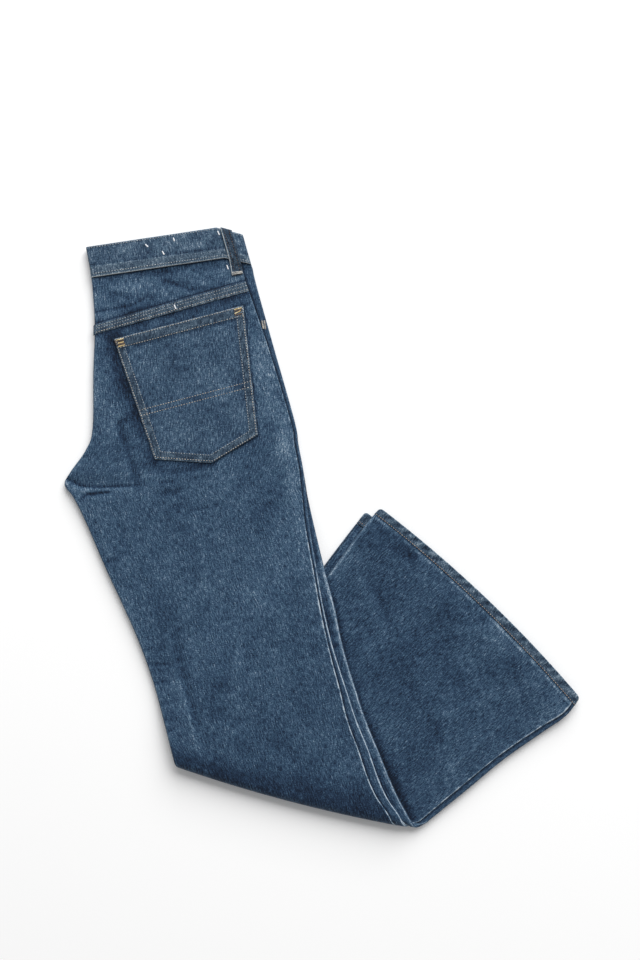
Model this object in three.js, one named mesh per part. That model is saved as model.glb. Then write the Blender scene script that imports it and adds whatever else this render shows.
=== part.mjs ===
// Flared jeans, folded in half lengthwise with the backs outside, then folded under at the knee.
// Millimetres, +Z up. The garment lies on the plane z = 0, waist towards +Y, hems towards +X.
//
// Every piece is made from the same two coordinates of the folded pack of cloth: a row, which runs
// down the legs from the waist (0) to the hem, and a distance across that row from its left end.
// A lift goes through the pack, from 0 on the left leg's back to the full thickness on the right
// leg's back. place() turns the three into a point, round the knee fold as well.

import * as THREE from "three";
import { mergeVertices } from "three/addons/utils/BufferGeometryUtils.js";

const wall = 1.4; // denim, with the air that it holds
const gap = 0.3; // between pieces that meet at a seam
const knee = { insideRadius: 0.8, steps: 8, slack: 3 };
const crownRadius = 2.1; // where a leg's cloth turns over at its side
const notchDepth = 9; // between the two legs' sides
const bandWall = 2.4; // the waistband is two layers and what is sewn between them
const band = { thickness: 12.4, crotchFoldIn: 9, rows: 3 };
const hem = { depth: 13, wall: 2, thickness: 11.6, raise: 0.5, retreat: 16, lastRow: 29 };
const yoke = { seamDepth: 13, seamRise: 1.7 };
const pocket = { thickness: 1.3, columns: 8, rows: 9 };
const beltLoop = { inset: 13, width: 14, thickness: 2.2, arch: 0.8, endsBelowBand: 20 };
const columnCount = 7;
const columnInset = 6;
const dropFrom = 0.8; // how far across a curved row its right end starts to drop

// One line for each row that was measured on the laid garment: its two ends, and how far in from
// them each outseam (seamR, seamL), the right leg's side and the left leg's inseam side lie.
// drop lowers the right end of a curved row, bow pushes its middle towards the hem, and sink
// presses the upper side of the pack down beside the crotch.
const upperRows = [
  { name: "waist edge", left: [-301, 355], right: [-104, 385], drop: 14, seamR: 13, seamL: 10 },
  { name: "band foot", left: [-294, 316], right: [-93, 346], drop: 13, seamR: 13, seamL: 10 },
  { name: "yoke seam", left: [-289, 256], right: [-87, 316], drop: 1, seamR: 12, seamL: 10 },
  { name: "hip", left: [-290, 195], right: [-64, 233], seamR: 7, seamL: 9 },
  { name: "seat", left: [-290, 124], right: [-36, 134], seamR: 5, seamL: 9 },
  { name: "seat curve", left: [-298, 97], right: [-31, 104], seamR: 5, seamL: 9 },
  { name: "above crotch", left: [-317, 69], right: [-25, 72], seamR: 5, seamL: 9, sink: -0.4 },
  { name: "crotch crease", left: [-324, 53], right: [-22, 54], seamR: 6, seamL: 9, rightOut: 1, sink: 1.7 },
  { name: "below crotch", left: [-312, 36], right: [-19, 36], seamR: 7, seamL: 9, rightOut: 2, leftIn: 1, sink: -0.5 },
  { name: "top of leg", left: [-294, 0], right: [-11, 0], seamR: 11, seamL: 9, rightOut: 6, leftIn: 2 },
  { name: "thigh", left: [-271, -52], right: [2, -54], seamR: 14, seamL: 9, rightOut: 10, leftIn: 2 },
  { name: "mid thigh", left: [-250, -96], right: [14, -99], seamR: 18, seamL: 9, rightOut: 14, leftIn: 3 },
  { name: "low thigh", left: [-230, -140], right: [24, -146], seamR: 18, seamL: 9, rightOut: 13, leftIn: 3 },
  { name: "above knee", left: [-212, -188], right: [40, -200], seamR: 20, seamL: 9, rightOut: 12, leftIn: 3 },
  { name: "knee", left: [-197, -238], right: [60, -257], bow: 1, seamR: 24, seamL: 9, rightOut: 12, leftIn: 3 },
  { name: "knee fold", left: [-184, -284], right: [106, -358], bow: 6, seamR: 26, seamL: 10, rightOut: 12, leftIn: 4 },
];
const lowerRows = [
  { name: "fold foot", left: [-172, -287], right: [127, -363], bow: -6, seamR: 22, seamL: 9, rightOut: 12, leftIn: 6 },
  { name: "shin", left: [-120, -214], right: [175, -325], bow: -2, seamR: 20, seamL: 9, rightOut: 12, leftIn: 9 },
  { name: "calf", left: [-65, -139], right: [222, -287], seamR: 19, seamL: 8, rightOut: 11, leftIn: 10 },
  { name: "flare", left: [-4, -55], right: [270, -254], bow: 4, seamR: 18, seamL: 7, rightOut: 10, leftIn: 11 },
  { name: "hem turn", left: [44, 8], right: [300, -233], bow: 8, seamR: 18, seamL: 5, rightOut: 10, leftIn: 10 },
  { name: "hem", left: [62, 31], right: [317, -211], bow: 10, seamR: 18, seamL: 5, rightOut: 10, leftIn: 12 },
];
const packThickness = 9.4;
const kneeRow = upperRows.length - 1;
const footRow = kneeRow + 1;
const hemRow = kneeRow + lowerRows.length;

// The pocket's corners as it is laid, from the top left round to the point at its foot.
const pocketCorners = {
  topLeft: [-264, 237],
  topRight: [-101, 280],
  right: [-82, 115],
  point: [-139, 80],
  left: [-211, 85],
};

const mix = (a, b, t) => a + (b - a) * t;
const clamp01 = (t) => Math.min(1, Math.max(0, t));
const ease = (t) => clamp01(t) ** 2 * (3 - 2 * clamp01(t));

// A smooth curve through the values of one column of a table, at a row that may lie between two.
function through(rows, read, at) {
  const i = Math.min(Math.max(Math.floor(at), 0), rows.length - 2);
  const t = at - i;
  const [b, c] = [read(rows[i]), read(rows[i + 1])];
  const a = i > 0 ? read(rows[i - 1]) : 2 * b - c;
  const d = i + 2 < rows.length ? read(rows[i + 2]) : 2 * c - b;
  return b + (t / 2) * (c - a + t * (2 * a - 5 * b + 4 * c - d + t * (3 * (b - c) + d - a)));
}

// Every value of the table at row v, with the row's direction and the direction towards the hem.
function rowAt(v) {
  if (v > kneeRow && v < footRow) return bentRow(v - kneeRow);
  const under = v >= footRow;
  const rows = under ? lowerRows : upperRows;
  const at = under ? v - footRow : v;
  const value = (key) => through(rows, (row) => row[key] ?? 0, at);
  const end = (key, i) => through(rows, (row) => row[key][i], at);
  const start = new THREE.Vector2(end("left", 0), end("left", 1));
  const finish = new THREE.Vector2(end("right", 0), end("right", 1));
  const width = start.distanceTo(finish);
  const across = finish.clone().sub(start).divideScalar(width);
  const turn = under ? 1 : -1;
  const ahead = new THREE.Vector2(-turn * across.y, turn * across.x);
  const atHem = under ? clamp01((v - hemRow + 2) / 1) : 0;
  const row = { v, under, start, across, ahead, width, bend: under ? 1 : 0 };
  row.thickness = mix(packThickness, hem.thickness, ease(atHem));
  for (const key of ["drop", "bow", "sink", "seamR", "seamL", "rightOut", "leftIn"]) {
    row[key] = value(key);
  }
  return row;
}

// A row inside the knee fold: its ends slide along the fold as the cloth goes round.
function bentRow(t) {
  const from = rowAt(kneeRow);
  const to = rowAt(footRow);
  const slide = to.start.clone().sub(from.start).dot(from.across);
  const row = { ...from, bend: t };
  row.start = from.start.clone().addScaledVector(from.across, slide * t);
  for (const key of ["width", "seamR", "seamL", "rightOut", "leftIn"]) row[key] = mix(from[key], to[key], t);
  return row;
}

// How high the upper legs are carried where they lie over the lower ones.
const carried = packThickness + 2 * knee.insideRadius;
const rampLength = 75;
function rise(x, y) {
  const from = new THREE.Vector2(...lowerRows[0].left);
  const to = new THREE.Vector2(...lowerRows[lowerRows.length - 1].left);
  const edge = to.sub(from).normalize();
  const beyond = (x - from.x) * edge.y - (y - from.y) * edge.x;
  return carried * ease((beyond + columnInset * 2 + rampLength) / rampLength);
}

// The point of the pack at a row, a distance across it and a lift.
function place(v, across, lift) {
  const row = rowAt(v);
  const t = clamp01(across / row.width);
  const forward = row.drop * clamp01((t - dropFrom) / (1 - dropFrom)) + row.bow * 4 * t * (1 - t);
  const spot = row.start.clone().addScaledVector(row.across, across).addScaledVector(row.ahead, forward);
  if (row.bend > 0 && row.bend < 1) {
    const angle = Math.PI * row.bend;
    const radius = knee.insideRadius + lift;
    spot.addScaledVector(row.ahead, radius * Math.sin(angle));
    const height = row.thickness + knee.insideRadius + radius * Math.cos(angle);
    return new THREE.Vector3(spot.x, spot.y, height);
  }
  if (row.under) return new THREE.Vector3(spot.x, spot.y, row.thickness - lift);
  return new THREE.Vector3(spot.x, spot.y, rise(spot.x, spot.y) + lift);
}

// The lift of the right back's outer face, pressed down beside the crotch.
function outerFace(row, across) {
  return row.thickness - row.sink * (1 - ease(across / (row.width * 0.4)));
}

// The distances across a row that all the layers share, so that their facets lie parallel.
function columnsOf(row) {
  const first = row.leftIn + columnInset;
  const last = row.width - Math.max(row.seamR, row.seamL) - columnInset;
  return Array.from({ length: columnCount + 1 }, (_, i) => mix(first, last, i / columnCount));
}

// The wall of one back as a closed section. At its left side it turns over to the pack's middle,
// and at its right it ends at the outseam. The left back is the same section seen from below.
function backSection(v, options) {
  const row = rowAt(v);
  const right = options.side === "right";
  const raise = options.raise ?? 0;
  const side = (right ? 0 : row.leftIn) - raise;
  const middle = row.thickness / 2 - options.opening / 2;
  const outseam = row.width - (right ? row.seamR : row.seamL);
  const lifts = (across, depth) => (right ? outerFace(row, across) + raise - depth : depth);
  const hook = (depth) => (right ? row.thickness - depth : depth);
  const r = crownRadius;
  const diagonal = r * (1 - Math.SQRT1_2);
  const outer = [
    [side, hook(middle)],
    [side, lifts(side, r)],
    [side + diagonal, lifts(side, diagonal)],
    [side + r, lifts(side + r, 0)],
  ];
  const inner = [
    [side + wall, hook(middle)],
    [side + wall, lifts(side, r + 0.25)],
    [side + wall + 0.25, lifts(side, wall + 0.25)],
    [side + r + 0.3, lifts(side + r, wall)],
  ];
  for (const across of [...columnsOf(row), outseam]) {
    outer.push([across, lifts(across, 0)]);
    inner.push([across, lifts(across, wall)]);
  }
  return [...outer, ...inner.reverse()].map(([across, lift]) => place(v, across, lift));
}

// The fronts and all that lies between the two backs, as one body: a lobe for each leg at the
// outseam side, where its front comes round to meet the back, and a step at the inseam side.
function innerSection(v, rightLegEnds = false) {
  const row = rowAt(v);
  const middle = row.thickness / 2;
  const inside = wall + gap;
  const lobe = crownRadius;
  const small = 0.3 * lobe;
  const rightSide = row.width - row.rightOut;
  const foot = rightLegEnds ? middle - 0.3 : middle + 0.1;
  const crown = rightLegEnds ? middle - 0.1 : row.thickness;
  const upper = (across) => (rightLegEnds ? crown - 0.05 : outerFace(row, across) - inside);
  const half = (crown - foot) / 2;
  const chamfer = rightLegEnds ? 0.02 : 1;
  const columns = columnsOf(row);
  const outseamR = row.width - row.seamR + gap;
  const slide = row.bend < 1 ? knee.slack * Math.sin(Math.PI * row.bend) : 0;
  const outseamL = row.width - row.seamL + gap + slide;
  const section = [
    [row.leftIn + inside + 1, inside],
    [row.leftIn + inside, inside + 1],
    [row.leftIn + inside, middle - 0.4],
    [inside, foot + 0.05],
    [inside, upper(inside) - chamfer],
    [inside + 1, upper(inside)],
    ...columns.map((across) => [across, upper(across)]),
    [outseamR, upper(outseamR)],
    [outseamR + 0.1, crown],
    [rightSide - lobe, crown],
    [rightSide - small, crown - 0.3 * half],
    [rightSide, crown - half],
    [rightSide - small, foot + 0.3 * half],
    [rightSide - lobe, foot],
    [rightSide - notchDepth, middle - 0.35],
    [row.width - lobe, middle - 0.4],
    [row.width - small, middle - 0.4 - small],
    [row.width, lobe],
    [row.width - small, small],
    [row.width - lobe, 0],
    [outseamL, 0],
    [outseamL, inside],
    ...columns.reverse().map((across) => [across, inside]),
  ];
  return section.map(([across, lift]) => place(v, across, lift));
}

// A closed band as two matching loops, its outer face and its inner one.
function bandLoops(v) {
  const row = { ...rowAt(v), thickness: band.thickness };
  const t = band.thickness;
  const middle = t / 2;
  const slit = 0.25;
  const [side, w] = [row.width, bandWall];
  const columns = columnsOf(row);
  const pairs = [
    [0, middle, w, middle],
    [0, t - 2.6, w, t - w - 0.3],
    [0.8, t - 0.8, w + 0.3, t - w - 0.1],
    [2.8, t, w + 1, t - w],
    ...columns.map((c) => [c, t, c, t - w]),
    [side - 2.8, t, side - w - 1, t - w],
    [side - 0.8, t - 0.8, side - w - 0.3, t - w - 0.1],
    [side, t - 2.2, side - w, t - w - 0.25],
    [side, middle + 2, side - w, middle + slit + w + 0.25],
    [side - 0.8, middle + slit + 0.6, side - w - 0.3, middle + slit + w + 0.1],
    [side - 2.8, middle + slit, side - w - 1, middle + slit + w],
    ...columns.toReversed().map((c) => [c, middle + slit, c, middle + slit + w]),
  ];
  const fold = [band.crotchFoldIn, middle, band.crotchFoldIn - w, middle];
  const below = pairs.slice(1).map(([a, lift, b, inner]) => [a, t - lift, b, t - inner]);
  const all = [...pairs, fold, ...below.reverse()];
  return {
    outer: all.map(([across, lift]) => place(v, across, lift)),
    inner: all.map(([, , across, lift]) => place(v, across, lift)),
  };
}

// One leg's hem: a flat tube round the leg's pair of layers.
function hemLoops(v, side) {
  const row = rowAt(v);
  const middle = row.thickness / 2;
  const right = side === "right";
  const low = right ? middle + 0.15 : -hem.raise;
  const high = right ? row.thickness : middle - 0.15;
  const from = right ? 0 : row.leftIn - 0.5;
  const to = right ? row.width - row.rightOut : row.width + 0.5;
  const w = hem.wall;
  const r = (high - low) / 2;
  const centre = (low + high) / 2;
  const columns = columnsOf(row);
  const slit = Math.max(high - low - 2 * w, 0.6) / 2;
  const turn = (at, outwards) => [
    [at - outwards * r * 0.75, high, at - outwards * w * 1.4, centre + slit],
    [at - outwards * r * 0.2, high - r * 0.45, at - outwards * w * 1.1, centre + slit * 0.5],
    [at, centre, at - outwards * w, centre],
    [at - outwards * r * 0.2, low + r * 0.45, at - outwards * w * 1.1, centre - slit * 0.5],
    [at - outwards * r * 0.75, low, at - outwards * w * 1.4, centre - slit],
  ];
  const all = [
    ...columns.map((c) => [c, high, c, centre + slit]),
    ...turn(to, 1),
    ...columns.toReversed().map((c) => [c, low, c, centre - slit]),
    ...turn(from, -1).reverse(),
  ];
  return {
    outer: all.map(([across, lift]) => place(v, across, lift)),
    inner: all.map(([, , across, lift]) => place(v, across, lift)),
  };
}

// Joins two rings of points with the same count by a strip of triangles. Each four-sided face is
// cut along its shorter diagonal, so that layers which lie parallel are cut alike.
function strip(faces, a, b) {
  for (let i = 0; i < a.length; i++) {
    const j = (i + 1) % a.length;
    if (a[i].distanceTo(b[j]) < a[j].distanceTo(b[i])) faces.push([a[i], b[i], b[j]], [a[i], b[j], a[j]]);
    else faces.push([a[i], b[i], a[j]], [a[j], b[i], b[j]]);
  }
}

// A mesh of the triangles, turned so that its faces point out.
function solid(name, faces) {
  const cross = new THREE.Vector3();
  const volume = faces.reduce((sum, [a, b, c]) => sum + a.dot(cross.crossVectors(b, c)), 0);
  const turned = volume < 0 ? faces.map(([a, b, c]) => [a, c, b]) : faces;
  const positions = turned.flatMap((face) => face.flatMap((p) => [p.x, p.y, p.z]));
  const loose = new THREE.BufferGeometry();
  loose.setAttribute("position", new THREE.Float32BufferAttribute(positions, 3));
  const geometry = mergeVertices(loose, 1e-3);
  geometry.computeVertexNormals();
  const mesh = new THREE.Mesh(geometry, name in finishes ? finishes[name] : finishes.denim);
  mesh.name = name;
  return mesh;
}

// The flat end of a loft, filled from the outline of its section.
function fill(faces, ring, flip) {
  const middle = new THREE.Vector3();
  for (const point of ring) middle.addScaledVector(point, 1 / ring.length);
  const right = ring.reduce((far, p) => (p.distanceTo(ring[0]) > far.distanceTo(ring[0]) ? p : far));
  const u = right.clone().sub(ring[0]).setZ(0).normalize();
  const flat = ring.map((p) => new THREE.Vector2(p.clone().sub(middle).dot(u), p.z));
  for (const [a, b, c] of THREE.ShapeUtils.triangulateShape(flat, [])) {
    faces.push(flip ? [ring[a], ring[c], ring[b]] : [ring[a], ring[b], ring[c]]);
  }
}

// A body whose closed section changes from row to row.
function loft(name, rings) {
  const faces = [];
  for (let i = 0; i + 1 < rings.length; i++) strip(faces, rings[i], rings[i + 1]);
  const sides = faces.length;
  fill(faces, rings[0], false);
  fill(faces, rings[rings.length - 1], true);
  matchEnds(faces, sides);
  return solid(name, faces);
}

// Turns each end's triangles where they run the same way along an edge as the sides do.
function matchEnds(faces, sides) {
  const key = (p) => `${p.x.toFixed(4)},${p.y.toFixed(4)},${p.z.toFixed(4)}`;
  const used = new Set();
  for (let i = 0; i < sides; i++) {
    faces[i].forEach((p, k) => used.add(`${key(p)}>${key(faces[i][(k + 1) % 3])}`));
  }
  const ends = faces.slice(sides);
  for (const half of [ends.slice(0, ends.length / 2), ends.slice(ends.length / 2)]) {
    const clash = half.some((face) => face.some((p, k) => used.has(`${key(p)}>${key(face[(k + 1) % 3])}`)));
    if (clash) half.forEach((face) => face.reverse());
  }
}

// A tube with a wall, from pairs of outer and inner loops.
function tube(name, loops) {
  const faces = [];
  const [first, last] = [loops[0], loops[loops.length - 1]];
  for (let i = 0; i + 1 < loops.length; i++) {
    strip(faces, loops[i].outer, loops[i + 1].outer);
    strip(faces, loops[i + 1].inner, loops[i].inner);
  }
  strip(faces, first.inner, first.outer);
  strip(faces, last.outer, last.inner);
  return solid(name, faces);
}

// Rows from one to another, each stretch between two measured rows cut into equal steps.
function rowsBetween(from, to, steps) {
  const marks = [from];
  for (let i = Math.floor(from) + 1; i < to; i++) marks.push(i);
  marks.push(to);
  const rows = [from];
  for (let i = 0; i + 1 < marks.length; i++) {
    const inKnee = marks[i] >= kneeRow && marks[i + 1] <= footRow;
    const long = rowAt(marks[i]).start.distanceTo(rowAt(marks[i + 1]).start) > steps;
    const parts = inKnee ? knee.steps : long ? 2 : 1;
    for (let k = 1; k <= parts; k++) rows.push(mix(marks[i], marks[i + 1], k / parts));
  }
  return rows;
}

const finishes = {
  denim: new THREE.MeshStandardMaterial({ color: 0x43607f, roughness: 0.92, metalness: 0 }),
};

const stepLength = 34;
const rowLength = (v) => rowAt(v).start.distanceTo(rowAt(v + 0.01).start) * 100;
const seamTop = 2; // the yoke seam's upper edge is a measured row
const seamFoot = seamTop + yoke.seamDepth / rowLength(seamTop);
const fromHem = (distance) => hemRow - distance / hem.lastRow;
const hemTop = fromHem(hem.depth);
const retreatFoot = fromHem(hem.retreat);
const retreatTop = fromHem(hem.retreat + hem.depth);
const sliver = gap / rowLength(1);

// The backs, each from under its yoke seam to its hem.
const closed = { opening: 0.4 };
const rightBack = loft(
  "right_back_panel",
  rowsBetween(seamTop + 4 * sliver, retreatTop - gap / hem.lastRow, stepLength).map((v) =>
    backSection(v, { side: "right", opening: v < 7 ? closed.opening : 1 }),
  ),
);
const leftBack = loft(
  "left_back_panel",
  rowsBetween(seamTop + 4 * sliver, hemTop - gap / hem.lastRow, stepLength).map((v) =>
    backSection(v, { side: "left", opening: v < 7 ? closed.opening : 1 }),
  ),
);

// The right yoke comes down over the back's upper edge, which makes the raised band of the seam.
function rightYoke() {
  const plain = rowsBetween(1 + 2 * sliver, seamTop - 3 * sliver, stepLength);
  const raised = [seamTop, mix(seamTop, seamFoot, 0.5), seamFoot];
  const options = { side: "right", ...closed };
  return loft("right_yoke", [
    ...plain.map((v) => backSection(v, options)),
    ...raised.map((v) => backSection(v, { ...options, raise: yoke.seamRise })),
  ]);
}

// The left yoke lies flat on the surface below, so it only meets its back edge to edge.
function leftYoke() {
  const rows = rowsBetween(1 + 2 * sliver, seamTop, stepLength);
  return loft("left_yoke", rows.map((v) => backSection(v, { side: "left", ...closed })));
}

// The fronts with their pocket bags and fly, from the waistband to the two hems.
function foldedFronts() {
  const [stepTop, stepFoot] = [3 * gap, gap].map((back) => retreatTop - back / hem.lastRow);
  const rings = rowsBetween(1 + 2 * sliver, stepTop, stepLength).map((v) => innerSection(v));
  rings.push(innerSection(stepFoot, true), innerSection(hemTop - gap / hem.lastRow, true));
  return loft("folded_fronts", rings);
}

function waistband() {
  const rows = Array.from({ length: band.rows + 1 }, (_, i) => i / band.rows);
  return tube("waistband", rows.map(bandLoops));
}

function hemTube(name, side, from, to) {
  return tube(name, [from, mix(from, to, 0.5), to].map((v) => hemLoops(v, side)));
}

// The row and the distance across it that lie at a point of the laid upper legs.
function rowThrough(x, y) {
  const point = new THREE.Vector2(x, y);
  let [low, high] = [0, kneeRow];
  for (let i = 0; i < 40; i++) {
    const v = (low + high) / 2;
    const row = rowAt(v);
    if (point.clone().sub(row.start).dot(row.ahead) > 0) low = v;
    else high = v;
  }
  const row = rowAt(low);
  return { row, across: point.sub(row.start).dot(row.across) };
}

// A point of the laid plan, on the right back's outer face and lifted off it.
function onBack([x, y], lift) {
  const { row, across } = rowThrough(x, y);
  return new THREE.Vector3(x, y, rise(x, y) + outerFace(row, across) + lift);
}

// A patch with five corners, sewn on the right back.
function backPocket() {
  const { topLeft, topRight, right, point, left } = pocketCorners;
  const lerp = (a, b, t) => [mix(a[0], b[0], t), mix(a[1], b[1], t)];
  const sides = [];
  const straight = pocket.rows - 3;
  for (let i = 0; i <= straight; i++) {
    sides.push([lerp(topLeft, left, i / straight), lerp(topRight, right, i / straight)]);
  }
  for (const t of [0.5, 0.97]) sides.push([lerp(left, point, t), lerp(right, point, t)]);
  const rings = sides.map(([from, to]) => {
    const line = Array.from({ length: pocket.columns + 1 }, (_, i) => lerp(from, to, i / pocket.columns));
    const upper = line.map((p) => onBack(p, gap + pocket.thickness));
    const under = line.map((p) => onBack(p, gap));
    return [...upper, ...under.reverse()];
  });
  return loft("right_back_pocket", rings);
}

// A strip over the waistband near the side, tacked above it and on the yoke below.
function sideBeltLoop() {
  const foot = 1 + beltLoop.endsBelowBand / 26;
  const over = band.thickness + gap;
  const onYoke = packThickness + gap;
  const stations = [
    [0, over],
    [0.25, over + beltLoop.arch],
    [0.7, over + beltLoop.arch],
    [1, over],
    [1.12, mix(over, onYoke, 0.6)],
    [1.25, onYoke],
    [foot, onYoke],
  ];
  const rings = stations.map(([v, lift]) => {
    const from = rowAt(v).width - beltLoop.inset - beltLoop.width;
    const corner = 0.6;
    const [left, right] = [from, from + beltLoop.width];
    const top = lift + beltLoop.thickness;
    return [
      [left, lift],
      [left, top - corner],
      [left + corner, top],
      [(left + right) / 2, top],
      [right - corner, top],
      [right, top - corner],
      [right, lift],
      [(left + right) / 2, lift],
    ].map(([across, height]) => place(v, across, height));
  });
  return loft("side_belt_loop", rings);
}

const jeans = new THREE.Group();
jeans.name = "flared_jeans";
jeans.add(rightBack, leftBack, foldedFronts(), rightYoke(), leftYoke(), waistband());
jeans.add(backPocket(), sideBeltLoop());
jeans.add(hemTube("left_leg_hem", "left", hemTop, hemRow));
jeans.add(hemTube("right_leg_hem", "right", retreatTop, retreatFoot));

// The origin is the middle of the plan, on the surface that the garment lies on.
const bounds = new THREE.Box3().setFromObject(jeans);
const centre = bounds.getCenter(new THREE.Vector3());
jeans.position.set(-centre.x, -centre.y, -bounds.min.z);
jeans.updateMatrixWorld(true);

export default jeans;
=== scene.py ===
import math
import bpy
import numpy as np
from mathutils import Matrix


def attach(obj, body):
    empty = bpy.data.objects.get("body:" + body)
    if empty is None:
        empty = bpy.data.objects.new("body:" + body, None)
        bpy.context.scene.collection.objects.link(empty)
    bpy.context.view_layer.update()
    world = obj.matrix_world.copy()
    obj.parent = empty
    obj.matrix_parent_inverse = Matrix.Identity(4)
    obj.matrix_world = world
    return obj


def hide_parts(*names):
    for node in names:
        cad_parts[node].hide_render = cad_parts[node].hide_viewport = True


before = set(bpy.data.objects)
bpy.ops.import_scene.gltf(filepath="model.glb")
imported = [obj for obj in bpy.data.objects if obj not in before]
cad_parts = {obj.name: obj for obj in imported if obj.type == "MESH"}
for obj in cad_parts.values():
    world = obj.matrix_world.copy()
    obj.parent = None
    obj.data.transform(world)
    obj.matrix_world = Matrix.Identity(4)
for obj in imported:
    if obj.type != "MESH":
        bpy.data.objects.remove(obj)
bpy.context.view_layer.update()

# The garment is worked out in millimetres as it lies: +Y towards the waist, +Z up off the surface.
# A row runs across the pack of cloth from its left end, the rows follow each other from the waist
# to the hem, and a lift goes through the pack from the left leg's back to the right leg's back.
pack = {
    "thickness": 9.4,  # two legs of two layers each
    "hemThickness": 11.6,
    "bandThickness": 12.4,
    "denim": 1.4,  # one layer with the air it holds
    "layerGap": 0.2,  # between a leg's own layers and the middle of the pack
    "kneeRadius": 0.8,  # of the innermost layer at the knee fold
    "foldRadius": 2.8,  # where a leg turns over at its side
    "rampLength": 75,  # the upper legs climb on to the lower ones over this length
    "swing": (2.6, 3.1),  # the outseam side, and its edges, draw in by this just above the knee fold
    "cornerFill": 3.5,  # the knee fold's outseam end stands out by this much more than its layers
    "step": 2.4,  # between the points of a face that shows
    "yokeStep": 2.6,
    "shift": (3.3, -5.1),  # brings the middle of the plan to the origin
}
columnNames = "leftX leftY rightX rightY drop bow sink seamR seamL rightOut leftIn".split()
upperRows = [
    (-301, 355, -104, 385, 14, 0, 0, 13, 10, 0, 0),  # waist edge
    (-294, 316, -93, 346, 13, 0, 0, 13, 10, 0, 0),  # foot of the waistband
    (-289, 256, -87, 316, 1, 0, 0, 12, 10, 0, 0),  # yoke seam
    (-290, 195, -64, 233, 0, 0, 0, 7, 9, 0, 0),  # hip
    (-290, 124, -36, 134, 0, 0, 0, 5, 9, 0, 0),  # seat
    (-298, 97, -31, 104, 0, 0, 0, 5, 9, 0, 0),
    (-317, 69, -25, 72, 0, 0, -0.4, 5, 9, 0, 0),
    (-324, 53, -22, 54, 0, 0, 1.7, 6, 9, 1, 0),  # crotch
    (-312, 36, -19, 36, 0, 0, -0.5, 7, 9, 2, 1),
    (-294, 0, -11, 0, 0, 0, 0, 11, 9, 6, 2),
    (-271, -52, 2, -54, 0, 0, 0, 14, 9, 10, 2),  # thigh
    (-250, -96, 14, -99, 0, 0, 0, 18, 9, 14, 3),
    (-230, -140, 24, -146, 0, 0, 0, 18, 9, 13, 3),
    (-212, -188, 40, -200, 0, 0, 0, 20, 9, 12, 3),
    (-197, -238, 60, -257, 0, 1, 0, 24, 9, 12, 3),
    (-184, -284, 106, -358, 0, 6, 0, 26, 10, 12, 4),  # knee fold
]
lowerRows = [
    (-172, -287, 127, -363, 0, -6, 0, 22, 9, 12, 6),  # foot of the fold
    (-120, -214, 175, -325, 0, -2, 0, 20, 9, 12, 9),  # shin
    (-65, -139, 222, -287, 0, 0, 0, 19, 8, 11, 10),
    (-4, -55, 270, -254, 0, 4, 0, 18, 7, 10, 11),  # flare
    (44, 8, 300, -233, 0, 8, 0, 18, 5, 10, 10),
    (62, 31, 317, -211, 0, 10, 0, 18, 5, 10, 12),  # hem
]
kneeRow = len(upperRows) - 1
footRow = kneeRow + 1
hemRow = kneeRow + len(lowerRows)
toOrigin = np.array([*pack["shift"], 0.0])
# Where the points of a rounded edge lie, for a quarter turn and a half turn.
quarterTurn = np.radians([0, 18, 36, 54, 72])
halfTurn = np.radians(np.arange(18, 163, 18))


def mix(a, b, t):
    return a + (b - a) * t


def ease(t):
    t = np.clip(t, 0.0, 1.0)
    return t * t * (3 - 2 * t)


# Columns of points side by side.
def joined(*parts):
    return np.concatenate(parts, axis=1)


# A smooth curve through one column of a table.
def through(column, at):
    i = np.clip(np.floor(at).astype(int), 0, len(column) - 2)
    t = at - i
    b, c = column[i], column[i + 1]
    a = np.where(i > 0, column[np.maximum(i - 1, 0)], 2 * b - c)
    d = np.where(i + 2 < len(column), column[np.minimum(i + 2, len(column) - 1)], 2 * c - b)
    return b + t / 2 * (c - a + t * (2 * a - 5 * b + 4 * c - d + t * (3 * (b - c) + d - a)))


# Everything about the rows at v, which is 0 at the waist edge and hemRow at the hem.
def rowAt(v):
    v = np.asarray(v, float).reshape(-1, 1)
    sections = [(upperRows, np.minimum(v, kneeRow), -1), (lowerRows, np.maximum(v - footRow, 0), 1)]
    parts = []
    for table, at, turn in sections:
        columns = np.array(table, float).T
        part = {name: through(columns[i], at) for i, name in enumerate(columnNames)}
        dx, dy = part["rightX"] - part["leftX"], part["rightY"] - part["leftY"]
        part["width"] = np.hypot(dx, dy)
        part["acrossX"], part["acrossY"] = dx / part["width"], dy / part["width"]
        part["aheadX"], part["aheadY"] = -turn * part["acrossY"], turn * part["acrossX"]
        parts.append(part)
    upper, lower = parts
    # The seam edges swing to the left just above the knee fold and turn back at it.
    swing = ease((v - kneeRow + 0.9) / 0.6) * ease((kneeRow + 0.02 - v) / 0.27)
    upper["width"] = upper["width"] - pack["swing"][0] * swing
    for name in ("seamR", "rightOut"):
        upper[name] = upper[name] + pack["swing"][1] * swing
    bend = np.clip(v - kneeRow, 0, 1)
    slide = (lower["leftX"] - upper["leftX"]) * upper["acrossX"]
    slide = (slide + (lower["leftY"] - upper["leftY"]) * upper["acrossY"]) * bend
    upper["leftX"] = upper["leftX"] + upper["acrossX"] * slide
    upper["leftY"] = upper["leftY"] + upper["acrossY"] * slide
    for name in ("width", "seamR", "seamL", "rightOut", "leftIn"):
        upper[name] = mix(upper[name], lower[name], bend)
    under = v >= footRow
    row = {name: np.where(under, lower[name], upper[name]) for name in upper}
    nearHem = np.where(under, ease(v - hemRow + 2), 0)
    row["thickness"] = mix(pack["thickness"], pack["hemThickness"], nearHem)
    row["v"], row["bend"], row["under"] = v, bend, under
    return row


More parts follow.
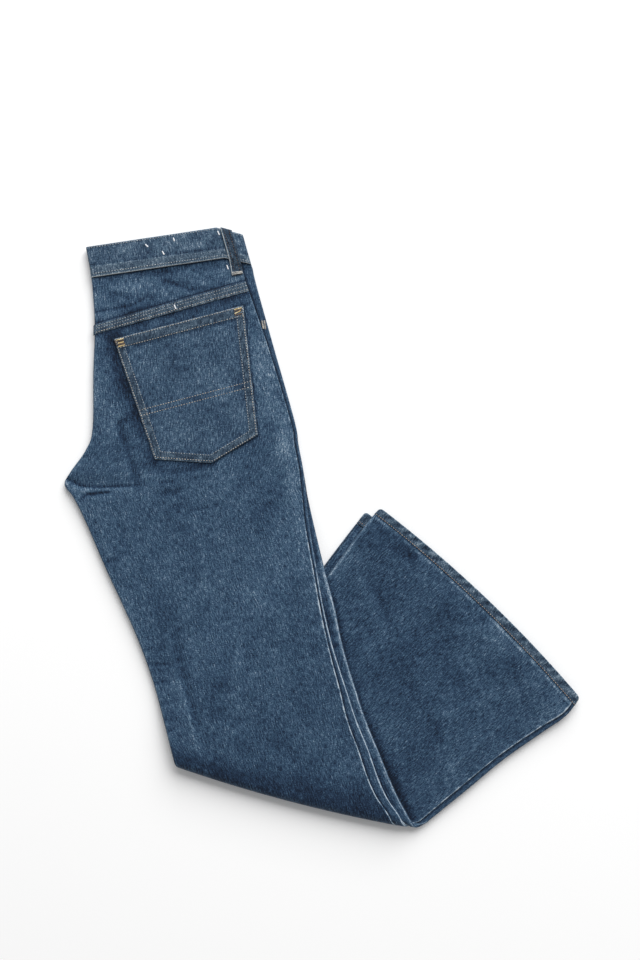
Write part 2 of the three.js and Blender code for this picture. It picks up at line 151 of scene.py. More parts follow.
# How high the upper legs lie where the lower ones are beneath them.
def rise(x, y):
    x0, y0 = lowerRows[0][0], lowerRows[0][1]
    x1, y1 = lowerRows[-1][0], lowerRows[-1][1]
    length = math.hypot(x1 - x0, y1 - y0)
    beyond = ((x - x0) * (y1 - y0) - (y - y0) * (x1 - x0)) / length
    carried = pack["thickness"] + 2 * pack["kneeRadius"]
    return carried * ease((beyond + 12 + pack["rampLength"]) / pack["rampLength"])


# The points of the pack at rows, distances across them and lifts.
def place(row, across, lift):
    t = np.clip(across / row["width"], 0, 1)
    forward = row["drop"] * np.clip((t - 0.84) / 0.16, 0, 1) + row["bow"] * 4 * t * (1 - t)
    x = row["leftX"] + row["acrossX"] * across + row["aheadX"] * forward
    y = row["leftY"] + row["acrossY"] * across + row["aheadY"] * forward
    bent = (row["bend"] > 0) & (row["bend"] < 1)
    angle = math.pi * row["bend"]
    radius = pack["kneeRadius"] + lift
    # At the outseam end the fold stands out evenly, though fewer layers go round it.
    filled = pack["cornerFill"] * ease((across - row["width"] + 13) / 4)
    out = np.where(bent, (radius + filled) * np.sin(angle), 0)
    flat = np.where(row["under"], row["thickness"] - lift, rise(x, y) + lift)
    turned = row["thickness"] + pack["kneeRadius"] + radius * np.cos(angle)
    z = np.where(bent, turned, flat)
    return np.stack([x + row["aheadX"] * out, y + row["aheadY"] * out, z + 0 * across], -1)


# The plan of the points at distances across rows.
def planOf(row, across):
    laid = place(row, across, 0)
    return laid[..., 0], laid[..., 1]


# Where a leg's outseam runs.
def outseamOf(row, right):
    return row["width"] - row["seamR" if right else "seamL"]


# How far a leg's rows are above or below the knee fold.
def fromKneeOf(row, right):
    return kneeRow - row["v"] if right else row["v"] - footRow


# How far along a line each of its points lies.
def lengthsAlong(points):
    return np.concatenate([[0], np.cumsum(np.linalg.norm(np.diff(points, axis=0), axis=1))])


# Rows from one to another, spaced evenly along the cloth, with finer ones at both ends.
def rowsAlong(first, last, steps):
    fine = np.linspace(first, last, 6000)
    row = rowAt(fine)
    gone = lengthsAlong(place(row, row["width"] * 0.5, row["thickness"])[:, 0])
    spacing = np.interp(fine, *np.array(steps, float).T)
    count = np.concatenate([[0], np.cumsum(np.diff(gone) / spacing[1:])])
    at = np.interp(np.linspace(0, count[-1], int(count[-1]) + 1), count, gone)
    near = np.array([0.0, 0.5, 1.2, 2.4])
    inner = at[(at > near[-1] + 0.8) & (at < gone[-1] - near[-1] - 0.8)]
    at = np.concatenate([near, inner, gone[-1] - near[::-1]])
    return np.interp(at, gone, fine), at.reshape(-1, 1)


# Smooth random unevenness between -1 and 1, one hump to each unit.
def softNoise(u, v, seed):
    grid = np.random.default_rng(seed).uniform(-1, 1, (64, 64))
    iu, iv = np.floor(u).astype(int), np.floor(v).astype(int)
    fu, fv = ease(u - iu), ease(v - iv)
    low = mix(grid[iu % 64, iv % 64], grid[(iu + 1) % 64, iv % 64], fu)
    high = mix(grid[iu % 64, (iv + 1) % 64], grid[(iu + 1) % 64, (iv + 1) % 64], fu)
    return mix(low, high, fv)


# Several unevennesses together, each with its gain and its hump's width and height in mm.
def noiseSum(x, y, seed, *terms):
    return sum(gain * softNoise(x / wide, y / high, seed + i) for i, (gain, wide, high) in enumerate(terms))


# How far a point is from a line of points, on which side of it, and how far along it.
def besideLine(x, y, points):
    points = np.array(points, float)
    lengths = np.linalg.norm(np.diff(points, axis=0), axis=1)
    best = np.full(np.shape(x), 1e9)
    signed, along = np.zeros(np.shape(x)), np.zeros(np.shape(x))
    gone = 0.0
    for (x0, y0), (x1, y1), length in zip(points[:-1], points[1:], lengths):
        ux, uy = (x1 - x0) / length, (y1 - y0) / length
        t = np.clip((x - x0) * ux + (y - y0) * uy, 0, length)
        px, py = x - x0 - t * ux, y - y0 - t * uy
        distance = np.hypot(px, py)
        closer = distance < best
        best = np.where(closer, distance, best)
        signed = np.where(closer, np.where(ux * py - uy * px > 0, distance, -distance), signed)
        along = np.where(closer, (gone + t) / lengths.sum(), along)
        gone += length
    return signed, along


def hump(distance, width):
    return np.exp(-((distance / width) ** 2))


# The folds and creases of the upper legs, as seen: a line on the laid garment, the height of its
# ridge, the depth of the trough beside it, how wide they are and how far to its left the trough is.
upperCreases = [
    ([(-322, 55), (-311, 49), (-301, 45), (-284, 46), (-263, 47), (-237, 47), (-223, 47)], 0.65, 0, 3.0, 0),
    ([(-321, 61), (-304, 52), (-284, 50), (-263, 51), (-237, 52), (-220, 53)], 0, 1.15, 2.8, 0),
    ([(-302, 32), (-301, 38), (-295, 41), (-280, 43), (-264, 44)], 0, 1.25, 3.6, 0),
    ([(-208, 56), (-198, 57), (-188, 57)], 0, 0.6, 3.0, 0),
    ([(-210, 42), (-192, 44), (-172, 46)], 0, 0.8, 5.0, 0),
    ([(-272, 242), (-260, 204), (-250, 175), (-239, 157), (-230, 137), (-220, 105)], 0, 0.6, 8.0, 0),
    (
        [(-238, 150), (-245, 142), (-256, 138), (-263, 131),
         (-257, 114), (-249, 94), (-242, 71), (-236, 52)], 0.3, 1.1, 5.4, 4.5,
    ),
    ([(-214, 74), (-192, 69), (-173, 71), (-146, 77)], 0, 0.7, 5.0, 0),
    ([(-296, -52), (-280, -50), (-260, -44)], 0.2, 0.7, 3.2, 3.0),
    ([(-236, -163), (-222, -166), (-206, -167), (-186, -165)], 0.35, 0.8, 3.2, -3.4),
    ([(-222, -198), (-209, -197), (-192, -193)], 0.3, 0.7, 2.8, 3.0),
    ([(-212, -226), (-204, -224), (-187, -219)], 0.2, 0.6, 3.0, 3.0),
    ([(-205, -258), (-194, -257), (-180, -250)], 0.2, 0.5, 3.0, 3.0),
    (
        [(-196, -122), (-192, -140), (-185, -165), (-177, -189),
         (-169, -220), (-160, -256), (-149, -280), (-136, -294)], 0.3, 0.3, 6.0, 8.5,
    ),
    ([(-170, -213), (-163, -240), (-156, -272), (-147, -287), (-131, -298)], 0.5, 0, 1.5, 0),
    ([(-183, -160), (-170, -195), (-160, -228), (-152, -252)], 0, 0.35, 5.0, 0),
    ([(-32, -128), (-18, -129), (-4, -127)], 0.35, 0.15, 2.8, 3.0),
    ([(-28, -142), (-16, -142), (-4, -144)], 0.35, 0.15, 2.6, -3.2),
    ([(-12, -167), (0, -169), (14, -168)], 0.35, 0.15, 3.0, 3.2),
    ([(-150, -22), (-148, -45), (-147, -86)], 0.5, 0.2, 6.0, 9.0),
    ([(-104, -150), (-108, -182), (-112, -214)], 0.35, 0.2, 7.0, -10.0),
    ([(-150, -232), (-118, -246), (-84, -252)], 0.2, 0.4, 8.0, 9.0),
    ([(-90, -262), (-52, -282), (-18, -308)], 0.2, 0.45, 9.0, 10.0),
    ([(-282, 20), (-276, -12), (-262, -40)], 0.3, 0.4, 7.0, -9.0),
    ([(-252, 30), (-244, -6), (-232, -30)], 0.2, 0.4, 6.0, -8.0),
    ([(-60, 150), (-46, 92), (-34, 30), (-20, -30)], 0.35, 0.15, 9.0, 14.0),
    ([(-205, 18), (-170, 12), (-128, 20)], 0.1, 0.3, 7.0, 8.0),
]
yokeCreases = [
    ([(-290, 268), (-273, 272), (-257, 274), (-238, 279), (-220, 289)], 0.2, 0.6, 3.6, 3.4),
    ([(-210, 311), (-187, 304), (-168, 297), (-149, 301)], 0.2, 0.6, 4.0, 4.0),
    ([(-280, 303), (-240, 300), (-200, 296)], 0.3, 0.2, 5.0, -7.0),
    ([(-105, 287), (-90, 282), (-82, 272), (-76, 262)], 0.45, 0.6, 2.4, -3.4),
]
lowerCreases = [
    ([(74, -12), (84, -28), (96, -38), (110, -42), (125, -36), (138, -24)], 0.25, 0.7, 6.0, 4.6),
    ([(96, -32), (108, -52), (112, -70)], 0.2, 0.5, 5.0, 6.0),
    ([(96, -186), (106, -196), (118, -204)], 0.2, 0.6, 6.0, 0),
    ([(128, -232), (136, -246), (140, -262)], 0.2, 0.6, 7.0, 0),
    ([(147, -304), (181, -277), (219, -244)], 0.5, 0, 2.2, 0),
    ([(29, -138), (47, -123), (65, -109)], 0.5, 0.3, 2.2, 3.0),
    ([(140, -232), (172, -222), (206, -206)], 0.2, 0.4, 6.0, 7.0),
    ([(44, -60), (62, -92), (74, -128)], 0.35, 0.4, 8.0, 10.0),
    ([(150, -120), (178, -128), (214, -120)], 0.25, 0.3, 8.0, 9.0),
    ([(226, -186), (240, -206), (246, -232)], 0.3, 0.35, 6.0, 8.0),
    ([(118, -168), (132, -160), (146, -152)], 0.3, 0.2, 4.0, 5.0),
    ([(196, -84), (214, -112), (228, -146)], 0.2, 0.35, 7.0, 8.0),
]
crotchEdge = -320  # mm: a crease that starts beyond it runs out over the garment's side


# The cloth's height off its flat lie, and its tone: paler where the ridges have worn, and painted shade in
# the troughs.
def creased(x, y, creases, seed):
    height, tone = np.zeros(np.shape(x)), np.zeros(np.shape(x))
    for i, (points, ridge, trough, width, aside) in enumerate(creases):
        signed, along = besideLine(x, y, points)
        taper = np.sqrt(np.clip(np.sin(math.pi * np.clip(along * 0.96 + 0.02, 0, 1)), 0, 1))
        if points[0][0] < crotchEdge:
            taper = np.clip(1.15 - along, 0.0, 1.0)
        taper = taper * (1 + 0.35 * softNoise(along * 5 + i * 3.3, along * 0, seed + i))
        height += ridge * hump(signed, width) * taper - trough * hump(signed - aside, width) * taper
        gathered = 1 + 0.7 * softNoise(x / 2.2, y / 9, seed + 40) * (width <= 3)
        rubbed = 0.28 if width < 2 else 0.15
        dark, reach = (0.34, 0.5) if width < 5 else (0.17, 0.9)
        tone += rubbed * ridge * hump(signed, width * 0.9) * taper * gathered
        # Painted shade in the trough beside each crease.
        tone -= dark * trough * hump(signed - aside, width * reach) * taper
    height += noiseSum(x, y, seed + 60, (0.42, 34, 80), (0.26, 19, 34), (0.12, 9, 13))
    tone += noiseSum(x, y, seed + 63, (0.035, 26, 44), (0.035, 8, 13))
    return height, tone


def hexColour(text):
    values = [int(text[i:i + 2], 16) / 255 for i in (1, 3, 5)]
    linear = [c / 12.92 if c <= 0.04045 else ((c + 0.055) / 1.055) ** 2.4 for c in values]
    return (*linear, 1.0)


# Adds one node with its settings, its values and its links.
def addNode(tree, kind, inputs=None, **settings):
    node = tree.nodes.new(kind)
    for name, value in settings.items():
        setattr(node, name, value)
    for key, value in (inputs or {}).items():
        if isinstance(value, bpy.types.NodeSocket):
            tree.links.new(value, node.inputs[key])
        else:
            node.inputs[key].default_value = value
    return node


def newMaterial(name):
    material = bpy.data.materials.new(name)
    material.use_nodes = True
    material.node_tree.nodes.clear()
    return material, material.node_tree


def addSurface(tree, inputs):
    shader = addNode(tree, "ShaderNodeBsdfPrincipled", inputs)
    addNode(tree, "ShaderNodeOutputMaterial", {"Surface": shader.outputs["BSDF"]})


def newObject(name, data):
    made = bpy.data.objects.new(name, data)
    bpy.context.scene.collection.objects.link(made)
    return made


def rampNode(tree, factor, stops):
    node = addNode(tree, "ShaderNodeValToRGB", {"Fac": factor})
    ramp = node.color_ramp
    while len(ramp.elements) < len(stops):
        ramp.elements.new(0.5)
    for element, (position, colour) in zip(ramp.elements, stops):
        element.position = position
        element.color = hexColour(colour)
    return node


# Indigo warp-faced twill, washed: a matt, slightly hairy cloth. The blue warp lies on top and has
# rubbed off in short pale flecks, so the eye reads streaks along the leg and a fine speckle. The
# real twill line is 0.6 mm, too fine for the picture, so it is drawn about 1.5 mm coarse.
denim = {
    "streakWide": 1.55,  # mm, one rubbed bundle of warp threads
    "streakLong": 7.5,
    "slubWide": 8.0,  # mm, a thick weft thread
    "slubHigh": 1.8,
    "grain": 1.35,  # mm
    "mottle": 34.0,  # mm, uneven washing
    "streakGain": 0.96,
    "slubGain": 0.2,
    "grainGain": 0.84,
    "mottleGain": 0.26,
    "stopsAt": (0.0, 0.25, 0.42, 0.55, 0.72, 1.0),
    "faceColours": ("#060d17", "#15253a", "#283f57", "#3b546b", "#5b7489", "#b4c0ca"),
    "seamColours": ("#0d1115", "#202a35", "#35434f", "#4b5963", "#727f88", "#ccd0ce"),
    "reverseStops": [(0.0, "#3a4c62"), (0.35, "#66788c"), (0.6, "#8f9dab"), (1.0, "#d5d9dc")],
}
faceStops = list(zip(denim["stopsAt"], denim["faceColours"]))
seamStops = list(zip(denim["stopsAt"], denim["seamColours"]))


def denimMaterial(name, stops):
    material, tree = newMaterial(name)
    cloth = addNode(tree, "ShaderNodeAttribute", attribute_name="cloth")
    tone = addNode(tree, "ShaderNodeAttribute", attribute_name="tone")
    grey = addNode(tree, "ShaderNodeAttribute", attribute_name="grey")

    def pattern(wide, high, detail):
        scale = (1 / wide, 1 / high, 1.0)
        mapped = addNode(tree, "ShaderNodeMapping", {"Vector": cloth.outputs["Vector"], "Scale": scale})
        inputs = {"Vector": mapped.outputs["Vector"], "Scale": 1.0, "Detail": detail, "Roughness": 0.6}
        return addNode(tree, "ShaderNodeTexNoise", inputs).outputs["Fac"]

    def centred(value, gain):
        inputs = {0: value, 1: gain, 2: -0.5 * gain}
        return addNode(tree, "ShaderNodeMath", inputs, operation="MULTIPLY_ADD").outputs[0]

    def added(a, b):
        return addNode(tree, "ShaderNodeMath", {0: a, 1: b}, operation="ADD").outputs[0]

    streak = pattern(denim["streakWide"], denim["streakLong"], 2.0)
    slub = pattern(denim["slubWide"], denim["slubHigh"], 2.0)
    grain = pattern(denim["grain"], denim["grain"], 1.0)
    mottle = pattern(denim["mottle"], denim["mottle"] * 1.5, 3.0)
    weave = added(centred(streak, denim["streakGain"]), centred(slub, denim["slubGain"]))
    weave = added(weave, centred(grain, denim["grainGain"]))
    factor = added(added(weave, centred(mottle, denim["mottleGain"])), added(tone.outputs["Fac"], 0.5))
    plain = rampNode(tree, factor, stops).outputs["Color"]
    seamed = rampNode(tree, factor, seamStops).outputs["Color"]
    inputs = {0: grey.outputs["Fac"], 6: plain, 7: seamed}
    colour = addNode(tree, "ShaderNodeMix", inputs, data_type="RGBA").outputs[2]
    tint = pattern(6.0, 8.0, 2.0)  # greenish and greyish patches of the old dye
    tints = rampNode(tree, tint, [(0.35, "#3f6a78"), (0.5, "#4a5f7c"), (0.65, "#625c7c")]).outputs["Color"]
    inputs = {0: 0.22, 6: colour, 7: tints}
    mixed = addNode(tree, "ShaderNodeMix", inputs, data_type="RGBA", blend_type="SOFT_LIGHT")
    bump = addNode(tree, "ShaderNodeBump", {"Height": weave, "Strength": 0.55, "Distance": 0.0006})
    inputs = {
        "Base Color": mixed.outputs[2],
        "Roughness": 0.93,
        "IOR": 1.45,
        "Specular IOR Level": 0.2,
        "Sheen Weight": 0.12,
        "Sheen Roughness": 0.5,
        "Normal": bump.outputs["Normal"],
    }
    addSurface(tree, inputs)
    return material


# Polyester-cotton sewing thread: a soft low gloss, faded unevenly, so it changes along the row.
def threadMaterial(name, dark, light, gloss):
    material, tree = newMaterial(name)
    where = addNode(tree, "ShaderNodeTexCoord").outputs["Object"]
    noises = []
    for scale, detail in ((260.0, 2.0), (1800.0, 1.0)):
        inputs = {"Vector": where, "Scale": scale, "Detail": detail}
        noises.append(addNode(tree, "ShaderNodeTexNoise", inputs).outputs["Fac"])
    fading, twist = noises
    colour = rampNode(tree, fading, [(0.35, dark), (0.65, light)])
    bump = addNode(tree, "ShaderNodeBump", {"Height": twist, "Strength": 0.4, "Distance": 0.0002})
    inputs = {
        "Base Color": colour.outputs["Color"],
        "Roughness": gloss,
        "Sheen Weight": 0.1,
        "Normal": bump.outputs["Normal"],
    }
    addSurface(tree, inputs)
    return material


washedIndigoDenim = denimMaterial("washedIndigoDenim", faceStops)
denimReverse = denimMaterial("denimReverse", denim["reverseStops"])
fadedTanThread = threadMaterial("fadedTanThread", "#84827f", "#c9c3b7", 0.7)
greyBlueThread = threadMaterial("greyBlueThread", "#75808a", "#bcc2c5", 0.7)
rustThread = threadMaterial("rustThread", "#7d665b", "#ada398", 0.7)
goldTackThread = threadMaterial("goldTackThread", "#b39350", "#efe0b4", 0.6)
brownThread = threadMaterial("brownThread", "#332a28", "#66544a", 0.7)
paleTackThread = threadMaterial("paleTackThread", "#9d9f9e", "#dcdad2", 0.6)
needleHoleShade = threadMaterial("needleHoleShade", "#0c121c", "#18222f", 0.9)
whiteThread = threadMaterial("whiteThread", "#dfe4ea", "#ffffff", 0.6)
print("materials made")


# A wall of cloth from two matching grids of points, its face and its reverse.
def clothPiece(name, face, reverse, tone, cloth, closed=False, seed=0.0, grey=0.0):
    rows, cols = face.shape[:2]
    count = rows * cols
    points = np.concatenate([face.reshape(-1, 3), reverse.reshape(-1, 3)])
    grid = np.arange(count).reshape(rows, cols)
    ring = joined(grid, grid[:, :1]) if closed else grid

    def quads(a, b, c, d):
        return np.stack([a.ravel(), b.ravel(), c.ravel(), d.ravel()], -1)

    front = quads(ring[:-1, :-1], ring[:-1, 1:], ring[1:, 1:], ring[1:, :-1])
    back = front[:, ::-1] + count
    rims = []
    for line, flip in ((ring[0], False), (ring[-1], True), (ring[:, 0], True), (ring[:, -1], False)):
        if closed and line.size == rows:
            continue
        a, b = (line[:-1], line[1:]) if flip else (line[1:], line[:-1])
        rims.append(quads(a, b, b + count, a + count))
    faces = np.concatenate([front, *rims, back])
    shown = len(faces) - len(back)
    corner = [points[faces[:, k]] for k in range(4)]
    volume = sum((corner[0] * np.cross(corner[k], corner[k + 1])).sum() for k in (1, 2))
    if volume < 0:
        faces = faces[:, ::-1]
    points = (points + toOrigin) / 1000
    mesh = bpy.data.meshes.new(name)
    mesh.from_pydata(points.tolist(), [], faces.tolist())
    mesh.materials.append(washedIndigoDenim)
    mesh.materials.append(denimReverse)
    mesh.polygons.foreach_set("material_index", np.repeat([0, 1], [shown, len(back)]).astype(np.int32))
    mesh.polygons.foreach_set("use_smooth", np.ones(len(faces), bool))
    along, down = (np.tile(np.broadcast_to(a, (rows, cols)).ravel(), 2) for a in cloth)
    flat = np.stack([along, down, np.repeat([seed, seed + 5.5], count)], -1).astype(np.float32)
    mesh.attributes.new("cloth", "FLOAT_VECTOR", "POINT").data.foreach_set("vector", flat.ravel())
    for label, values in (("tone", tone), ("grey", grey)):
        values = np.tile(np.broadcast_to(values, (rows, cols)).ravel(), 2).astype(np.float32)
        mesh.attributes.new(label, "FLOAT", "POINT").data.foreach_set("value", values)
    mesh.validate()
    mesh.update()
    return newObject(name, mesh)


# Distances across each row, exact near both ends and evenly spread between.
def spread(start, end, step, startOffsets, endOffsets):
    first = start + np.array(startOffsets)
    last = end - np.array(endOffsets[::-1])
    count = int(np.max(end - start) / step)
    share = np.linspace(0, 1, count + 2)[1:-1]
    middle = first[:, -1:] + (last[:, :1] - first[:, -1:]) * share
    return joined(first, middle, last)


def sinkOf(row, across):
    return row["sink"] * (1 - ease(across / (row["width"] * 0.4)))


# How far a cut or folded edge rolls down.
def edgeRoll(distance, drop=0.35, reach=1.2):
    return -drop * np.clip(1 - distance / reach, 0, 1) ** 2


seams = {
    "gap": 0.3,
    "yokeSeamRow": 2.0,
    "felledWidth": 13.0,  # the felled seam's raised band
    "felledRise": 1.5,
    "hemDepth": 13.0,
    "hemRowLength": 29.0,
    "hipRowLength": 45.0,
    "kneeRowLength": 68.0,
    "rightHemRetreat": 18.0,
}


def rowLength(v):
    row = rowAt([v, v + 0.01])
    ahead = [np.diff(row[name][:, 0])[0] for name in ("leftX", "leftY")]
    return 100 * math.hypot(*ahead)


yokeFoot = seams["yokeSeamRow"] + seams["felledWidth"] / rowLength(seams["yokeSeamRow"])
belowBand = 1 + seams["gap"] / rowLength(1)
backTop = seams["yokeSeamRow"] + 4 * seams["gap"] / rowLength(1)
hemTop = hemRow - seams["hemDepth"] / seams["hemRowLength"]
rightHemFoot = hemRow - seams["rightHemRetreat"] / seams["hemRowLength"]
rightHemTop = rightHemFoot - seams["hemDepth"] / seams["hemRowLength"]
hemGap = seams["gap"] / seams["hemRowLength"]

pocketCorners = [(-264, 237), (-101, 280), (-82, 115), (-139, 80), (-211, 85)]


# Painted shade on the back along the pocket's edges, most on the left and below.
def paintedPocketShade(x, y):
    tone = np.zeros(np.shape(x))
    # From a corner to a corner: how dark it is at each, and how wide.
    edges = [
        (0, 4, 0.27, 0.12, 11.0),
        (4, 3, 0.08, 0.15, 7.0),
        (3, 2, 0.14, 0.14, 3.0),
        (2, 1, 0.3, 0.3, 2.2),
        (1, 0, 0.12, 0.12, 5.0),
    ]
    uneven = 1 + 0.5 * softNoise(x / 12, y / 16, 7)
    for start, end, darkStart, darkEnd, width in edges:
        signed, along = besideLine(x, y, [pocketCorners[start], pocketCorners[end]])
        tone -= mix(darkStart, darkEnd, along) * hump(signed, width) * uneven
    return tone


# A back's or a yoke's wall, which turns over at the inseam side. For its face and its reverse: how
# far across the pack the points lie, and how deep under the pack's outer face.
def turnedSide(row, start, outseam, step, endOffsets):
    turn = pack["foldRadius"]
    top = spread(start + turn, outseam, step, (0.0, 1.2, 3.0), endOffsets)
    half = row["thickness"] / 2 - pack["layerGap"]
    straight = joined(half, mix(half, turn, 0.5))
    made = []
    for inset in (0, pack["denim"]):
        side = start + turn - (turn - inset) * np.cos(quarterTurn)
        depth = turn - (turn - inset) * np.sin(quarterTurn) + 0 * start
        made.append(joined(start + inset, start + inset, side, top))
        made.append(joined(straight, depth, 0 * top + inset))
    return made


# The points of a wall's face and reverse, from how far across and how deep under its own leg's back
# they lie. A raised band stands out all round the side.
def wallOf(row, sides, height, right, raised=0, outward=0):
    faces = []
    for across, depth in (sides[:2], sides[2:]):
        lift = row["thickness"] - depth + height if right else depth - height
        lift = lift + raised * ease((row["thickness"] / 2 - depth) / 3)
        faces.append(place(row, across - outward, lift))
    return faces


# The wall of one back as it turns over at the inseam side and runs to the outseam.
def backCloth(name, side, last, steps, seed):
    rows, gone = rowsAlong(backTop, last, steps)
    row = rowAt(rows)
    right = side == "right"
    start = 0 * row["leftIn"] if right else row["leftIn"]
    outseam = outseamOf(row, right)
    sides = turnedSide(row, start, outseam, pack["step"], (0.0, 0.5, 1.1, 2.0, 3.4, 5.4))
    faceAcross, faceDepth = sides[:2]
    flat = place(row, faceAcross, 0)
    x, y = flat[..., 0], flat[..., 1]
    fromFold, fromSeam = faceAcross - start, outseam - faceAcross
    shows = ~row["under"] if right else row["under"]
    calm = ease(fromKneeOf(row, right) / 0.45) * shows
    height, tone = creased(x, y, upperCreases if right else lowerCreases, seed)
    height = height * calm * ease(fromFold / 5 + 0.25)
    pucker = softNoise(row["v"] * 0 + gone / 5.0, fromSeam / 9, seed + 70)
    height += 0.28 * pucker * hump(fromSeam, 7) * calm
    height += 0.3 * hump(fromSeam - 1.5, 2.2) * shows + edgeRoll(fromSeam, 0.45, 1.2)
    tone = tone * calm
    worn = mix(0.25, 1.0, ease((30 - y) / 130)) + 0.35 * ease((-200 - y) / 80) if right else 1.0
    tone += worn * 0.5 * hump(fromSeam - 0.7, 0.8) * (0.9 + 0.35 * pucker)
    tone += 0.035 * hump(fromSeam, 18) + 0.06 * pucker * hump(fromSeam, 9)
    tone += (0.05 if right else 0.22) * hump(fromFold - 2.0, 1.6) + 0.03 * hump(fromFold, 14)
    if right:
        height -= sinkOf(row, faceAcross) * ease((faceDepth * -1 + 3.5) / 3.5)
        # Painted shadow on the back just under the yoke's raised felled band.
        belowSeam = (row["v"] - yokeFoot) * seams["hipRowLength"]
        tone -= 0.24 * hump(belowSeam, 4.0) * (1 + 0.5 * softNoise(x / 15, y / 9, 12))
        # Painted shade, darker towards the bottom and deepest near the knee fold.
        kneeFoldShade = hump((row["v"] - kneeRow) * seams["kneeRowLength"], 20)
        tone -= 0.02 * ease((-60 - y) / 120) + mix(0.2, 0.28, ease((x - 20) / 70)) * kneeFoldShade - 0.008
        tone += 0.05 * hump(fromSeam - 12, 16) * ease((y + 20) / 80) * ease((260 - y) / 60)
        # Painted shade along the pocket, and painted light a little stronger towards the waist.
        tone += paintedPocketShade(x, y) + 0.02 * ease((y - 60) / 120)
    else:
        tone += 0.035 * ease((x - 120) / 120) - 0.045
        # Painted shade on the lower leg beside the upper legs' edge, wider and darker towards the knee.
        upper = rowAt(np.linspace(8, kneeRow, 20))
        signed, _ = besideLine(x, y, place(upper, upper["width"], 0)[:, 0, :2])
        nearKnee = ease((-200 - y) / 110)
        tone -= mix(0.2, 0.3, nearKnee) * hump(signed, mix(3.4, 7.5, nearKnee))
        fromHem = (hemTop - row["v"]) * seams["hemRowLength"]
        tone += 0.18 * hump(fromHem - 3.0, 1.5) * (1 + softNoise(x / 7, y / 7, seed + 75))
    across = faceAcross - row["width"] / 2 - faceDepth * (fromFold < pack["foldRadius"])
    steps = np.linalg.norm(np.diff(flat, axis=0), axis=-1)
    along = np.concatenate([0 * steps[:1], np.cumsum(steps, axis=0)])
    if not right:
        along = along - along[np.argmax(row["under"][:, 0])]
    faces = wallOf(row, sides, height, right)
    return clothPiece(name, *faces, tone, (across, along), seed=seed)


# How far apart the rows are, in mm, at some of them: finer where creases or the fold show.
rightSteps = [(5.6, 3.0), (5.9, 1.7), (8.6, 1.7), (9, 3.0), (15, 3.0), (16.2, 3.4), (16.6, 7)]
leftSteps = [(14.4, 7), (15, 3.4), (16, 2.8)]
rightBackCloth = backCloth("rightBackCloth", "right", rightHemTop - hemGap, rightSteps, 10)
leftBackCloth = backCloth("leftBackCloth", "left", hemTop - hemGap, leftSteps, 20)
print("backs made")


# One front, which comes round at the outseam side in a rounded lobe and lies inside the fold.
def frontCloth(name, side, last, seed):
    rows, gone = rowsAlong(belowBand, last, [(0, 4)])
    row = rowAt(rows)
    right = side == "right"
    half = row["thickness"] / 2
    outer = seams["gap"] * np.where(row["under"] | right, 1, 0) + 0 * half
    inner = half - pack["layerGap"]
    radius = (inner - outer) / 2
    end = row["width"] - (row["rightOut"] if right else 0)
    seam = np.minimum(outseamOf(row, right) + 0.4, end - radius - 0.6)
    start = (0 if right else row["leftIn"]) + 2.0 + 0 * half
    top = spread(seam, end - radius, 5.0, (0.0, 0.5, 1.2), (0.0,))
    low = spread(start, end - radius, 9.0, (0.0, 2.0), (0.0, 4.0))[:, ::-1]
    angles = np.radians([15, 35, 55, 75, 90, 105, 125, 145, 165])
    centre = outer + radius
    sides = []
    for inset in (0, pack["denim"]):
        lobe = end - radius + (radius - inset) * np.sin(angles)
        sides.append(joined(top, lobe, low))
        lobe = centre - (radius - inset) * np.cos(angles)
        sides.append(joined(outer + inset + 0 * top, lobe, inner - inset + 0 * low))
    faceAcross, faceDepth = sides[:2]
    x, y = planOf(row, faceAcross)
    onTop = (faceDepth < centre) & (row["under"] != right)
    calm = ease(fromKneeOf(row, right) / 0.45)
    height = 0.22 * softNoise(gone / 11, faceAcross / 14, seed) * calm * onTop
    fromEnd = end - faceAcross
    worn = mix(0.1, 1.5, ease((30 - y) / 130))
    crest = 0.7
    if not right:
        above = mix(0.2, 1.3, ease((-10 - y) / 60)) - 0.25 * ease((-190 - y) / 90)
        worn = np.where(row["under"], 0.2, above)
        crest = np.where(row["under"], 0.7, 1.6)
    tone = worn * 0.34 * hump(fromEnd - crest, 0.9) + 0.02 * softNoise(gone / 9, x / 9, seed + 1)
    # Painted shade in the groove just beside the outseam.
    tone = tone - 0.26 * hump(faceAcross - seam - 0.4, 1.4) * (faceDepth < centre)
    tone = tone - (0.02 if right else 0.035)
    if not right:
        # Painted shadow of the right front's edge on the left front.
        tone = tone - 0.22 * hump(fromEnd - row["rightOut"] + 1.6, 1.4) * ~row["under"]
    faces = wallOf(row, sides, height, right)
    return clothPiece(name, *faces, tone, (lengthsAlong(faces[0][0]), gone), seed=seed)


rightFrontCloth = frontCloth("rightFrontCloth", "right", rightHemTop - hemGap, 30)
leftFrontCloth = frontCloth("leftFrontCloth", "left", hemTop - hemGap, 40)
print("fronts made")


